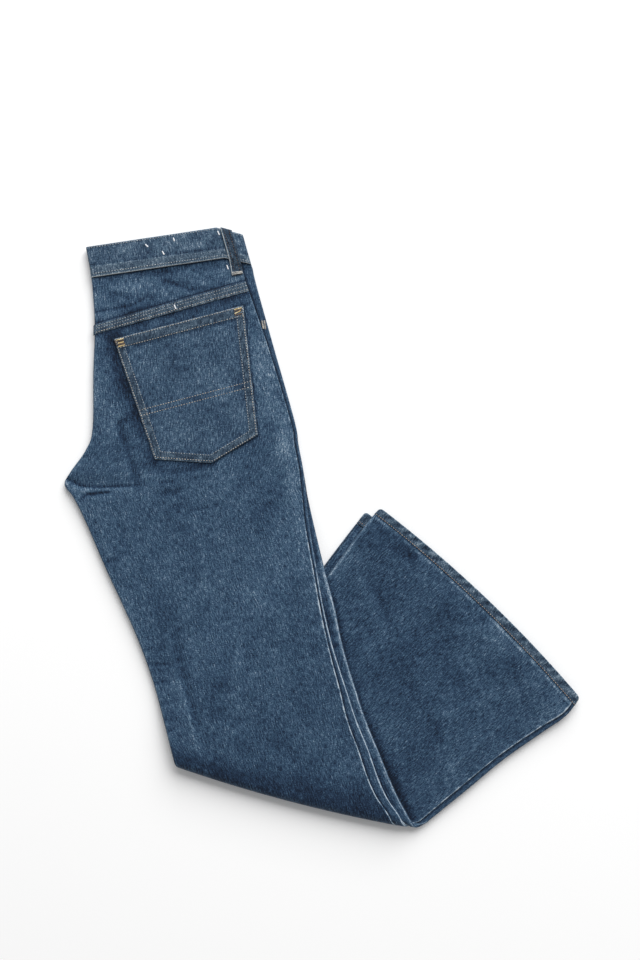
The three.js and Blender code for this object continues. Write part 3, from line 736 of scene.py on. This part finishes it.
# A yoke: the right one's lower edge is felled over the back in a raised, stitched band.
def yokeCloth(name, side, seed):
    right = side == "right"
    rows, gone = rowsAlong(belowBand, yokeFoot if right else seams["yokeSeamRow"], [(1.7, 2.2), (1.8, 1.0)])
    row = rowAt(rows)
    felled = seams["felledWidth"]
    start = 0 * row["leftIn"]
    outseam = outseamOf(row, right)
    fromFoot = gone[-1] - gone
    raised = seams["felledRise"] * ease((felled + 1.2 - fromFoot) / 2.0) * right
    sides = turnedSide(row, start, outseam, pack["yokeStep"], (0.0, 0.5, 1.1, 2.0, 3.4))
    faceAcross = sides[0]
    x, y = planOf(row, faceAcross)
    height, tone = creased(x, y, yokeCreases if right else [], seed)
    fromFold, fromSeam = faceAcross - start, outseam - faceAcross
    calm = ease(gone / 10) * ease((fromFoot - 10) / 9)
    height = height * ease(fromFold / 5 + 0.25) * calm * right
    band = ease((felled + 0.6 - fromFoot) / 1.5)
    ripple = softNoise(faceAcross / 5.5, gone / 6, seed + 5)
    tone = tone * (1 - 0.5 * band)
    if right:
        height += band * (0.14 * ripple + 0.16 * hump(fromFoot - 6, 3.5)) + edgeRoll(fromFoot, 0.5, 1.2)
        height -= 0.35 * hump(fromFoot - felled - 2.4, 1.5)
        tone += band * (0.01 + 0.07 * ripple) + 0.3 * hump(fromFoot, 0.9) * (0.7 + 0.6 * ripple)
        # Painted shade in the groove along the band's upper edge, and painted shadow under the waistband's
        # foot.
        tone -= 0.34 * hump(fromFoot - felled - 1.4, 1.1) + 0.05 * hump(fromFoot - felled - 3, 5)
        tone -= 0.08 * hump(gone - 3, 10) * (1 + softNoise(x / 25, y / 9, 51)) + 0.1 * hump(gone, 1.4)
        tone += (0.04 + noiseSum(x, y, 52, (0.07, 22, 7), (0.05, 9, 4))) * (1 - band)
        tone += 0.05 * hump(fromSeam, 3.0) + 0.04 * hump(fromFold - 2, 4)
    outward = raised * (1 - ease(fromFold / 3))
    faces = wallOf(row, sides, height, right, raised, outward)
    return clothPiece(name, *faces, tone, (faceAcross - outward, gone), seed=seed, grey=0.55 * band * right)


rightYokeCloth = yokeCloth("rightYokeCloth", "right", 50)
leftYokeCloth = yokeCloth("leftYokeCloth", "left", 55)
print("yokes made")

waistband = {
    "height": 39.5,
    "wall": 2.4,  # two layers of denim and what is sewn between them
    "foldIn": 9.0,  # the ring's fold at the centre back
    "seamStrip": 13.0,  # the turned-in edges make the lower part thicker
    "stripRise": 0.35,
}


# The waistband is a closed ring that is folded with the garment.
def waistbandCloth():
    height, wall, foldIn = waistband["height"], waistband["wall"], waistband["foldIn"]
    at = [0, 0.4, 1.0, 2.0, 3.2, *np.arange(5, height - 15, 2.2), *np.arange(height - 14.6, height - 3, 1.3)]
    at = np.array(at + [height - short for short in (2.4, 1.4, 0.7, 0.3, 0)]).reshape(-1, 1)
    row = rowAt(at / height)
    t = pack["bandThickness"]
    slit = 0.25
    middle = t / 2
    width = row["width"]
    turn = (t - middle - slit) / 2
    left = 3.0
    columns = spread(left + 0 * width, width - turn, pack["yokeStep"], (0.0, 1.5), (0.0, 1.5))
    coarse = spread(foldIn + 0 * width, width - turn, 9.0, (0.0, 2.0), (0.0,))[:, :0:-1]
    zero = 0 * width
    sides = []
    for inset in (0, wall):
        side = left - (left - inset) * np.cos(quarterTurn) + zero
        lobe = width - turn + (turn - inset) * np.sin(halfTurn)
        sides.append(joined(zero + inset, zero + inset, side, columns, lobe, coarse))
        side = t - left + (left - inset) * np.sin(quarterTurn) + zero
        lobe = middle + slit + turn + (turn - inset) * np.cos(halfTurn) + zero
        lift = [zero + middle, zero + middle + 1.6, side, t - inset + 0 * columns, lobe]
        sides.append(joined(*lift, middle + slit + inset + 0 * coarse))
    a1, l1, a2, l2 = sides
    x, y = planOf(row, a1)
    fromFoot = height - at
    fromStrip = fromFoot - waistband["seamStrip"]
    strip = ease(-fromStrip / 1.8)
    ripple = softNoise(x / 6, y / 6, 80)
    onTop = ease((l1 - middle - 3) / 2)
    relief = waistband["stripRise"] * strip + 0.16 * ripple + 0.3 * softNoise(x / 30, at / 18, 81)
    relief = relief * onTop + edgeRoll(np.minimum(fromFoot, at), 0.6, 1.2)
    tone = 0.055 + 0.01 * strip * ease(1 + ripple) + 0.05 * ripple + 0.06 * softNoise(x / 13, at / 9, 82)
    tone = tone + 0.62 * hump(fromFoot, 0.6) + 0.05 * hump(at, 2.0)
    tone = tone - 0.17 * hump(fromStrip - 0.8, 1.0) + 0.05 * hump(fromStrip + 1.4, 1.2)
    grey = 0.2 + 0.3 * strip + 0 * tone
    tone = tone * onTop + 0.05 * hump(a1 - 2, 6)
    l1, l2 = l1 + relief, l2 + relief * 0.4

    # The ring's lower half mirrors its upper one, with one column between them at the fold.
    def mirrored(upper, between, lower):
        return joined(upper, zero + between, lower[:, :0:-1])

    a1, a2 = mirrored(a1, foldIn, a1), mirrored(a2, foldIn - wall, a2)
    l1, l2 = mirrored(l1, middle, np.maximum(t - l1, 0.0)), mirrored(l2, middle, np.maximum(t - l2, 0.6))
    tone, grey = mirrored(tone, 0, tone), mirrored(grey, 0, grey)
    face, back = place(row, a1, l1), place(row, a2, l2)
    cloth = (a1 + l1 * 0.3, at)
    return clothPiece("waistbandCloth", face, back, tone, cloth, closed=True, seed=60, grey=grey)


waistbandPiece = waistbandCloth()
print("waistband made")

hemSizes = {"wall": 2.0, "raise": 0.5, "ropePitch": 17.0, "ropeDepth": 0.5, "corner": 4.5}


# One leg's hem: a flat tube that is turned up and stitched, with the diagonal rope of such hems.
def hemCloth(name, side, first, last, seed):
    depth = seams["hemDepth"]
    at = [0, 0.4, 0.9, 1.5, 2.2, 3.2, 4.6, 6.0, 7.4, 8.8, 10.0, 11.0, 11.8, 12.4, 12.8, 13.0]
    at = np.array(at).reshape(-1, 1)
    row = rowAt(mix(first, last, at / depth))
    right = side == "right"
    middle = row["thickness"] / 2
    low = middle + 0.15 if right else -hemSizes["raise"] + 0 * middle
    high = row["thickness"] if right else middle - 0.15
    start = 0 * middle if right else row["leftIn"] - 0.5
    end = row["width"] - row["rightOut"] if right else row["width"] + 0.5
    # The corners of the hem are round.
    corner = hemSizes["corner"]
    beyond = np.clip(at - (depth - corner), 0, corner)
    rounding = corner - np.sqrt(corner**2 - beyond**2)
    start, end = start + rounding, end - rounding
    turn = (high - low) / 2
    centre = (low + high) / 2
    slit = np.maximum(high - low - 2 * hemSizes["wall"], 0.6) / 2
    columns = spread(start + turn, end - turn, 2.2, (0.0, 1.0), (0.0, 1.0))
    sides = []
    for out, up in ((turn, turn), (turn - hemSizes["wall"], slit)):
        rightEnd = end - turn + out * np.sin(halfTurn)
        leftEnd = start + turn - out * np.sin(halfTurn)
        sides.append(joined(columns, rightEnd, columns[:, ::-1], leftEnd))
        lift = [up + 0 * columns, up * np.cos(halfTurn), -up + 0 * columns, -up * np.cos(halfTurn)]
        sides.append(centre + joined(*lift))
    a1, l1, a2, l2 = sides
    fromEdge = depth - at
    wave = a1 + fromEdge * 0.9 + 9 * softNoise(a1 / 40, 0 * a1, seed)
    rope = np.sin(2 * math.pi * wave / hemSizes["ropePitch"])
    rope = rope * (0.75 + 0.5 * softNoise(a1 / 25, 0 * a1 + 3, seed + 1))
    outside = np.where(l1 > centre, 1.0, -1.0)
    facesUp = (outside < 0) & (not right)
    relief = hemSizes["ropeDepth"] * rope * hump(fromEdge - 5.5, 4.5) - 0.35 * hump(fromEdge - 12.0, 0.9)
    relief = relief * facesUp + edgeRoll(np.minimum(fromEdge, at), 0.5, 1.0)
    l1 = l1 + relief * outside
    tone = 0.01 + 0.2 * rope * hump(fromEdge - 5, 5) + 0.2 * hump(fromEdge, 0.8)
    # Painted shade along the hem's upper edge, where it meets the leg.
    tone = tone - 0.2 * hump(fromEdge - 12.9, 0.6) + 0.06 * hump(end - a1, 10)
    tone = tone + 0.06 * softNoise(a1 / 5, at / 5, seed + 2)
    face, back = place(row, a1, l1), place(row, a2, l2)
    return clothPiece(name, face, back, tone, (a1, at), closed=True, seed=seed, grey=0.45)


leftHemCloth = hemCloth("leftHemCloth", "left", hemTop, hemRow, 90)
rightHemCloth = hemCloth("rightHemCloth", "right", rightHemTop, rightHemFoot, 95)
print("hems made")


# The right back's upper face at points of the laid plan.
def onBack(x, y, lift):
    height, _ = creased(x, y, upperCreases, 10)
    return rise(x, y) + pack["thickness"] + height + lift


pocket = {
    "thickness": 1.3,
    "edgeRise": 0.55,  # where the edges are turned under
    "edgeBand": 10.5,
    "hemBand": 13.0,
    "hemRise": 0.35,
    "step": 1.8,
    "lengths": (152, 36, 165),  # down its sides, down its foot and across it
}


def insetPolygon(points, distances):
    points = np.array(points, float)
    count = len(points)
    lines = []
    for i in range(count):
        a, b = points[i], points[(i + 1) % count]
        along = (b - a) / np.linalg.norm(b - a)
        normal = np.array([along[1], -along[0]])
        lines.append((a + normal * distances[i], along))
    corners = []
    for i in range(count):
        (p, u), (q, w) = lines[i - 1], lines[i]
        t = np.cross(q - p, w) / np.cross(u, w)
        corners.append(p + u * t)
    return np.array(corners)


# A patch with five corners, its edges turned under and its top hemmed.
def backPocketCloth():
    topLeft, topRight, right, point, left = (np.array(c, float) for c in pocketCorners)
    downCount, footCount, acrossCount = (int(length / pocket["step"]) for length in pocket["lengths"])
    down = np.linspace(0, 1, downCount).reshape(-1, 1)
    foot = np.linspace(0, 0.985, footCount).reshape(-1, 1)[1:]
    leftSide = np.concatenate([mix(topLeft, left, down), mix(left, point, foot)])
    rightSide = np.concatenate([mix(topRight, right, down), mix(right, point, foot)])
    share = np.linspace(0, 1, acrossCount)
    x, y = (mix(leftSide[:, k:k + 1], rightSide[:, k:k + 1], share) for k in (0, 1))
    ring = pocketCorners + [pocketCorners[0]]
    edges = [np.abs(besideLine(x, y, ring[i:i + 2])[0]) for i in range(5)]
    fromTop = edges[0]
    fromEdge = np.minimum.reduce(edges[1:])
    nearest = np.minimum(fromTop, fromEdge)
    ripple = softNoise(x / 5, y / 5, 101)
    hemHigh = pocket["edgeRise"] + pocket["hemRise"]
    height = pocket["edgeRise"] * ease((pocket["edgeBand"] + 0.8 - fromEdge) / 1.8)
    height = np.maximum(height, hemHigh * ease((pocket["hemBand"] + 0.8 - fromTop) / 1.8))
    height = height * (1 + 0.25 * ripple) + edgeRoll(nearest, 0.45, 1.6)
    puff = noiseSum(x, y, 102, (0.35, 30, 34), (0.18, 13, 18))
    crease1, _ = besideLine(x, y, [(-222, 196), (-206, 220), (-194, 232)])
    crease2, _ = besideLine(x, y, [(-186, 226), (-190, 206), (-200, 196)])
    puff = puff - 0.4 * hump(crease1, 4.5) - 0.3 * hump(crease2, 4.0)
    inside = ease((nearest - 8) / 8)
    height = height + puff * inside
    tone = 0.015 + noiseSum(x, y, 104, (0.022, 12, 18), (0.03, 25, 30))
    # Painted shade in the pocket's two creases.
    tone = tone - 0.04 * inside * (hump(crease1, 5) + hump(crease2, 4))
    band = ease((pocket["edgeBand"] + 0.5 - fromEdge) / 1.5)
    hemmed = ease((pocket["hemBand"] + 0.5 - fromTop) / 1.5)
    seamed = np.maximum(band, hemmed)
    tone = tone + (0.09 * ripple - 0.03) * seamed
    # Painted shade just inside the raised hem band and edge bands.
    tone = tone - 0.12 * hump(fromTop - 15.0, 1.8) - 0.07 * hump(fromEdge - 12.0, 1.4)
    # Paler worn edges, with painted shade along the lower right edge instead.
    tone = tone + 0.22 * hump(nearest, 1.2) * (1 - 1.8 * (edges[2] < 1.5))
    base = onBack(x, y, seams["gap"])
    face, back = (np.stack([x, y, z], -1) for z in (base + pocket["thickness"] + height, base))
    return clothPiece("backPocketCloth", face, back, tone, (x, y), seed=100, grey=0.08 + 0.45 * seamed)


pocketPiece = backPocketCloth()
print("pocket made")

loopSizes = {
    "inset": 13.0,
    "width": 14.0,
    "arch": 0.8,
    "endsBelowBand": 20.0,
    "rowLength": 26.0,  # from the waistband's foot to the yoke's seam
}
loopFoot = 1 + loopSizes["endsBelowBand"] / loopSizes["rowLength"]


# Where the middle of the loop is across the pack.
def loopMiddle(row):
    return row["width"] - loopSizes["inset"] - loopSizes["width"] / 2


# The rows that the loop passes over and its lift at each, smoothed.
def beltLoopPath():
    over, onYoke = pack["bandThickness"] + 0.5, pack["thickness"] + 0.3
    arch = over + loopSizes["arch"]
    stations = [(-0.03, over - 0.1), (0, over + 0.1), (0.25, arch), (0.7, arch), (0.94, over + 0.3)]
    stations += [(1.1, mix(over, onYoke, 0.55)), (1.24, onYoke + 0.1), (1.5, onYoke), (loopFoot, onYoke)]
    at = np.linspace(stations[0][0], stations[-1][0], 60)
    lift = np.interp(at, *np.array(stations).T)
    for _ in range(3):
        lift[1:-1] = (lift[:-2] + 2 * lift[1:-1] + lift[2:]) / 4
    return at, lift


# A folded strip over the waistband, tacked above it and on the yoke below.
def beltLoopCloth():
    at, lift = beltLoopPath()
    row = rowAt(np.maximum(at, 0))
    spill = np.minimum(at, 0).reshape(-1, 1) * waistband["height"]
    # Its section from one edge to the middle: distance across and height.
    section = [(-7, 0), (-7, 0.9), (-6.85, 1.6), (-6.4, 2.05), (-5.5, 2.25), (-4.2, 2.1), (-3.4, 1.95)]
    section += [(-1.5, 2.2), (0, 2.3)]
    offset, tall = np.array(section + [(-a, b) for a, b in section[-2::-1]]).T
    middle = loopMiddle(row)
    across = middle + offset
    ripple = softNoise(across / 4, row["v"] * 8, 111)
    face = place(row, across, lift.reshape(-1, 1) + tall + 0.08 * ripple)
    back = place(row, middle + offset * 0.97, lift.reshape(-1, 1) + 0 * tall)
    for grid in (face, back):
        grid[..., 0] += row["aheadX"] * spill
        grid[..., 1] += row["aheadY"] * spill
    tone = 0.07 * ripple - 0.06 + 0.8 * hump(offset + 6.6, 0.7) - 0.1 * hump(offset - 6.6, 0.8)
    tone = tone - 0.12 * hump(np.abs(offset) - 3.4, 0.8)
    alongLoop = at.reshape(-1, 1) * waistband["height"]
    return clothPiece("beltLoopCloth", face, back, tone, (offset, alongLoop), seed=110, grey=0.6)


loopPiece = beltLoopCloth()
print("belt loop made")


# The tree that lays stitches along curves. A stitch is a slim low ellipsoid, and its size varies.
def stitchTree():
    tree = bpy.data.node_groups.new("stitchRow", "GeometryNodeTree")
    tree.interface.new_socket("Geometry", in_out="INPUT", socket_type="NodeSocketGeometry")
    defaults = {"Pitch": 0.0032, "Stitch length": 0.0025, "Thread width": 0.0008, "Thread height": 0.0006}
    for name, value in defaults.items():
        socket = tree.interface.new_socket(name, in_out="INPUT", socket_type="NodeSocketFloat")
        socket.default_value = value
    tree.interface.new_socket("Thread", in_out="INPUT", socket_type="NodeSocketMaterial")
    tree.interface.new_socket("Geometry", in_out="OUTPUT", socket_type="NodeSocketGeometry")
    given = addNode(tree, "NodeGroupInput").outputs
    facing = addNode(tree, "GeometryNodeSetCurveNormal", {"Curve": given["Geometry"]})
    facing.mode = "Z_UP"
    inputs = {"Curve": facing.outputs["Curve"], "Length": given["Pitch"]}
    points = addNode(tree, "GeometryNodeCurveToPoints", inputs, mode="LENGTH")
    ball = addNode(tree, "GeometryNodeMeshUVSphere", {"Segments": 6, "Rings": 4, "Radius": 0.5})
    sizes = {"X": given["Thread width"], "Y": given["Thread height"], "Z": given["Stitch length"]}
    scale = addNode(tree, "ShaderNodeCombineXYZ", sizes)
    inputs = {"Geometry": ball.outputs["Mesh"], "Scale": scale.outputs["Vector"]}
    shaped = addNode(tree, "GeometryNodeTransform", inputs)
    inputs = {0: (0.85, 0.85, 0.8), 1: (1.15, 1.15, 1.08), "Seed": 5}
    uneven = addNode(tree, "FunctionNodeRandomValue", inputs, data_type="FLOAT_VECTOR")
    inputs = {
        "Points": points.outputs["Points"],
        "Instance": shaped.outputs["Geometry"],
        "Rotation": points.outputs["Rotation"],
        "Scale": uneven.outputs[0],
    }
    laid = addNode(tree, "GeometryNodeInstanceOnPoints", inputs)
    real = addNode(tree, "GeometryNodeRealizeInstances", {"Geometry": laid.outputs["Instances"]})
    smooth = addNode(tree, "GeometryNodeSetShadeSmooth", {"Geometry": real.outputs["Geometry"]})
    inputs = {"Geometry": smooth.outputs["Geometry"], "Material": given["Thread"]}
    coloured = addNode(tree, "GeometryNodeSetMaterial", inputs)
    addNode(tree, "NodeGroupOutput", {"Geometry": coloured.outputs["Geometry"]})
    return tree


stitchRows = stitchTree()


# Lays stitches along lines of points, given in millimetres, and returns them as one plain mesh.
def sew(name, lines, thread, pitch, length, width, height):
    curve = bpy.data.curves.new(name + "Path", "CURVE")
    curve.dimensions = "3D"
    for line in lines:
        if len(line) < 2:
            continue
        line = (np.asarray(line, float) + toOrigin) / 1000
        spline = curve.splines.new("POLY")
        spline.points.add(len(line) - 1)
        spline.points.foreach_set("co", joined(line, np.ones((len(line), 1))).ravel())
    path = newObject(name + "Path", curve)
    modifier = path.modifiers.new("stitches", "NODES")
    modifier.node_group = stitchRows
    wanted = {"Pitch": pitch, "Stitch length": length, "Thread width": width, "Thread height": height}
    for item in stitchRows.interface.items_tree:
        if item.in_out == "INPUT" and item.name in wanted:
            modifier[item.identifier] = wanted[item.name] / 1000
        if item.in_out == "INPUT" and item.name == "Thread":
            modifier[item.identifier] = thread
    evaluated = path.evaluated_get(bpy.context.evaluated_depsgraph_get())
    mesh = bpy.data.meshes.new_from_object(evaluated)
    mesh.name = name
    bpy.data.objects.remove(path)
    bpy.data.curves.remove(curve)
    return newObject(name, mesh)


stitch = {"pitch": 3.4, "length": 2.2, "width": 1.05, "height": 0.7, "lift": 0.1}  # mm
tackStitch = {"pitch": 0.7, "length": 0.8}


# The points of a plan line where a piece lies under it, lifted off its face.
def surfaceLine(piece, points, lift=stitch["lift"]):
    made = []
    for x, y in points:
        start = ((x + toOrigin[0]) / 1000, (y + toOrigin[1]) / 1000, 0.08)
        hit, spot, _, _ = piece.ray_cast(start, (0, 0, -1))
        if hit:
            made.append((x, y, spot.z * 1000 + lift))
    return made


# Points along a line, evenly apart.
def evenPoints(points, step=2.0, closed=False):
    points = np.array(points, float)
    if closed:
        points = np.concatenate([points, points[:1]])
    gone = lengthsAlong(points)
    at = np.linspace(0, gone[-1], max(int(gone[-1] / step), 2))
    return np.stack([np.interp(at, gone, points[:, k]) for k in range(2)], -1)


# A line across the pack at one row, between two distances from its ends.
def planLine(v, fromLeft, fromRight, count=80):
    row = rowAt(np.full(count, float(v)))
    across = np.linspace(fromLeft, float(row["width"][0, 0]) - fromRight, count).reshape(-1, 1)
    return place(row, across, 0)[:, 0, :2]


# The needle's holes lie between the stitches, so their row starts half a pitch later.
def holesOf(lines, pitch):
    made = []
    for line in lines:
        line = np.array(line)
        gone = lengthsAlong(line)
        at = np.concatenate([[pitch / 2], gone[gone > pitch / 2]])
        made.append(np.stack([np.interp(at, gone, line[:, k]) for k in range(3)], -1))
    return made


def sewRows(name, lines, thread, width=stitch["width"]):
    return sew(name, lines, thread, stitch["pitch"], stitch["length"], width, stitch["height"])


bpy.context.view_layer.update()


bandHigh = waistband["height"]
bandLines = [surfaceLine(waistbandPiece, planLine(v, 4, 2.5)) for v in (1.8 / bandHigh, 1 - 3.4 / bandHigh)]
bandStitches = sewRows("bandStitches", bandLines, greyBlueThread)

seamLength = rowLength(seams["yokeSeamRow"])
yokeRows = [planLine(yokeFoot - up / seamLength, 3, 13) for up in (2.0, 6.2, 9.8)]
yokeLines = [surfaceLine(rightYokeCloth, points) for points in yokeRows]
yokeStitches = sewRows("yokeStitches", yokeLines[:1], fadedTanThread)
yokeInnerStitches = sewRows("yokeInnerStitches", yokeLines[1:], greyBlueThread, 0.9)

outer = insetPolygon(pocketCorners, [1.4, 1.6, 1.6, 2.4, 1.6])
inner = insetPolygon(pocketCorners, [12.4, 9.6, 9.6, 9.6, 9.6])
mixedTop = insetPolygon(pocketCorners, [12.4, 1.6, 1.6, 2.4, 1.6])
pocketRows = [evenPoints(outer, closed=True), evenPoints(mixedTop[:2])]
# A plain double row across the pocket, level with its hem.
for down in (96.0, 103.0):
    level = insetPolygon(pocketCorners, [down, 2.0, 2.0, 2.0, 2.0])
    pocketRows.append(evenPoints(level[:2]))
pocketLines = [surfaceLine(pocketPiece, points) for points in pocketRows]
pocketStitches = sewRows("pocketStitches", pocketLines, fadedTanThread)
innerLines = [surfaceLine(pocketPiece, evenPoints(inner[[1, 2, 3, 4, 0]]))]
pocketInnerStitches = sewRows("pocketInnerStitches", innerLines, greyBlueThread, 0.95)

loopAt, loopLift = (values[2:] for values in beltLoopPath())
loopRow = rowAt(np.maximum(loopAt, 0))
loopLines = [
    place(loopRow, loopMiddle(loopRow) + offset, loopLift.reshape(-1, 1) + 2.1)[:, 0]
    for offset in (-3.4, 3.4)
]
loopStitches = sewRows("loopStitches", loopLines, brownThread, 0.9)

leftHemRow = hemRow - 11.9 / seams["hemRowLength"]
rightHemRow = rightHemFoot - 11.0 / seams["hemRowLength"]
hemLines = [surfaceLine(leftHemCloth, planLine(leftHemRow, 13, 2.0, count=140), 0.15)]
hemLines.append(surfaceLine(rightHemCloth, planLine(rightHemRow, 2.5, 285, count=12), 0.15))
hemStitches = sewRows("hemStitches", hemLines, rustThread)

holeLines = holesOf(bandLines + yokeLines + pocketLines + innerLines + loopLines, stitch["pitch"])
# Dark beads at the needle holes: painted shade of the holes.
needleHoleShadows = sew("needleHoleShadows", holeLines, needleHoleShade, stitch["pitch"], 1.1, 1.15, 0.5)
print("stitches sewn")


# A bar of close thread across an end that takes the strain.
def tack(x, y, along, length, lift):
    ux, uy = np.array(along) / np.hypot(*along)
    points = [(x + ux * s, y + uy * s) for s in np.linspace(-length / 2, length / 2, 9)]
    return surfaceLine(pocketPiece, points, lift)


def sewTacks(name, lines, thread, width, height):
    return sew(name, lines, thread, tackStitch["pitch"], tackStitch["length"], width, height)


# Each tack at the pocket's upper corners: its middle, its direction and its length.
topLine = (163, 43)
goldBars = [
    (-256.4, 236.4, topLine, 9.0),
    (-255.0, 232.4, topLine, 7.0),
    (-253.8, 228.4, topLine, 8.0),
    (-107.6, 275.6, topLine, 9.0),
    (-107.8, 271.2, (10, 5), 8.0),
]
brownBars = [
    (-255.7, 234.4, topLine, 9.5),
    (-254.4, 230.4, topLine, 9.5),
    (-107.4, 273.4, topLine, 9.5),
    (-106.8, 268.4, topLine, 9.0),
    (-261.2, 232.2, (28, -82), 6.0),
]
goldTacks = sewTacks("goldTacks", [tack(*bar, 0.3) for bar in goldBars], goldTackThread, 1.9, 1.1)
brownTacks = sewTacks("brownTacks", [tack(*bar, 0.1) for bar in brownBars], brownThread, 2.4, 0.8)
tackStart = float(loopMiddle(rowAt([loopFoot - 0.05]))[0, 0]) - 6.3
loopTackRows = [planLine(loopFoot - up, tackStart, loopSizes["inset"] + 0.7, count=9) for up in (0.035, 0.1)]
loopTackLines = [surfaceLine(loopPiece, points, 0.35) for points in loopTackRows]
loopTacks = sewTacks("loopTacks", loopTackLines, paleTackThread, 1.9, 1.1)
sideTackRows = [[(-77.2, 261), (-76.4, 256), (-75.4, 251)], [(-74.4, 261), (-73.6, 256), (-72.8, 250)]]
sideTackLines = [surfaceLine(rightFrontCloth, points, 0.15) for points in sideTackRows]
sideTacks = sewTacks("sideTacks", sideTackLines, fadedTanThread, 2.3, 0.8)
looseEnds = [
    ([(-225.0, 358.0), (-222.4, 355.4)], waistbandPiece),
    ([(-189.7, 366.3), (-188.8, 363.1)], waistbandPiece),
    ([(-203.6, 348.9), (-201.6, 345.5)], waistbandPiece),
    ([(-188.0, 280.2), (-186.2, 276.2)], rightYokeCloth),
    ([(-133.4, 374.6), (-131.8, 370.8)], waistbandPiece),
    ([(-121.9, 331.6), (-120.4, 327.4)], rightYokeCloth),
]
endLines = [surfaceLine(piece, evenPoints(line, 0.8), 0.4) for line, piece in looseEnds]
threadEnds = sew("threadEnds", endLines, whiteThread, 0.9, 1.8, 1.9, 1.2)
print("tacks made")

# For each cloth: the solid that it dresses, what it was cut to in metres and square metres, what it
# rests on and the threads that are sewn to it.
yokeThreads = [yokeStitches, yokeInnerStitches]
bandThreads = [bandStitches, threadEnds, needleHoleShadows]
pocketThreads = [pocketStitches, pocketInnerStitches, goldTacks, brownTacks]
loopThreads = [loopStitches, loopTacks]
cloths = [
    (rightBackCloth, "right_back_panel", (0.34, 0.98), 0.27, ["folded_fronts"], []),
    (leftBackCloth, "left_back_panel", (0.34, 0.98), 0.27, ["folded_fronts"], []),
    (rightFrontCloth, "folded_fronts", (0.31, 1.06), 0.27, ["left_back_panel"], [sideTacks]),
    (leftFrontCloth, "folded_fronts", (0.31, 1.06), 0.27, ["left_back_panel"], []),
    (rightYokeCloth, "right_yoke", (0.215, 0.075), 0.0125, ["right_back_panel"], yokeThreads),
    (leftYokeCloth, "left_yoke", (0.215, 0.075), 0.0105, ["left_back_panel"], []),
    (waistbandPiece, "waistband", (0.79, 0.04), None, ["right_yoke"], bandThreads),
    (pocketPiece, "right_back_pocket", (0.175, 0.19), 0.026, ["right_back_panel"], pocketThreads),
    (loopPiece, "side_belt_loop", (0.019, 0.062), None, ["waistband", "right_yoke"], loopThreads),
    (leftHemCloth, "left_leg_hem", (0.7, 0.013), None, ["left_back_panel"], [hemStitches]),
    (rightHemCloth, "right_leg_hem", (0.68, 0.013), None, ["left_leg_hem"], []),
]
for piece, node, flat, area, restsOn, threads in cloths:
    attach(piece, "root")
    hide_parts(node)
    for thread in threads:
        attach(thread, "root")

# A white table, one wide soft light beyond the waist and to the right, and an even white surround.
studio = {
    "floorSize": 8.0,
    "floorDrop": 0.0006,
    "keyPower": 460.0,
    "keySize": 5.4,
    "keyPlace": (1.3, 4.2, 3.5),
    "surround": 0.37,
}
floorMesh = bpy.data.meshes.new("floor")
half = studio["floorSize"] / 2
corners = [(-half, -half, 0), (half, -half, 0), (half, half, 0), (-half, half, 0)]
floorMesh.from_pydata(corners, [], [(0, 1, 2, 3)])
floor = newObject("floor", floorMesh)
floor.location.z = -studio["floorDrop"]
tableTop, tree = newMaterial("mattWhiteTable")  # smooth matt paint
addSurface(tree, {"Base Color": hexColour("#fdfdfd"), "Roughness": 0.95, "Specular IOR Level": 0.1})
floorMesh.materials.append(tableTop)

light = bpy.data.lights.new("softbox", "AREA")
light.energy = studio["keyPower"]
light.size = studio["keySize"]
softbox = newObject("softbox", light)
softbox.location = studio["keyPlace"]
toMiddle = -np.array(studio["keyPlace"])
lean = math.acos(-toMiddle[2] / np.linalg.norm(toMiddle))
softbox.rotation_euler = (lean, 0, math.atan2(toMiddle[1], toMiddle[0]) - math.pi / 2)

world = bpy.data.worlds.new("studio")
world.use_nodes = True
background = world.node_tree.nodes["Background"]
background.inputs["Color"].default_value = (1, 1, 1, 1)
background.inputs["Strength"].default_value = studio["surround"]
bpy.context.scene.world = world
bpy.context.scene.view_settings.view_transform = "Standard"

# Degrees and millimetres, as the garment lies.
view = {"tilt": 5.0, "distance": 1850.0, "angle": 36.0, "target": (-4.0, 59.0, 8.0)}
cameraData = bpy.data.cameras.new("camera")
cameraData.sensor_fit = "VERTICAL"
cameraData.angle = math.radians(view["angle"])
camera = newObject("camera", cameraData)
tilt = math.radians(view["tilt"])
aside = view["distance"] * np.array([0, -math.sin(tilt), math.cos(tilt)])
camera.location = (np.array(view["target"]) + toOrigin + aside) / 1000
camera.rotation_euler = (tilt, 0, 0)
bpy.context.scene.camera = camera
print("stage set")
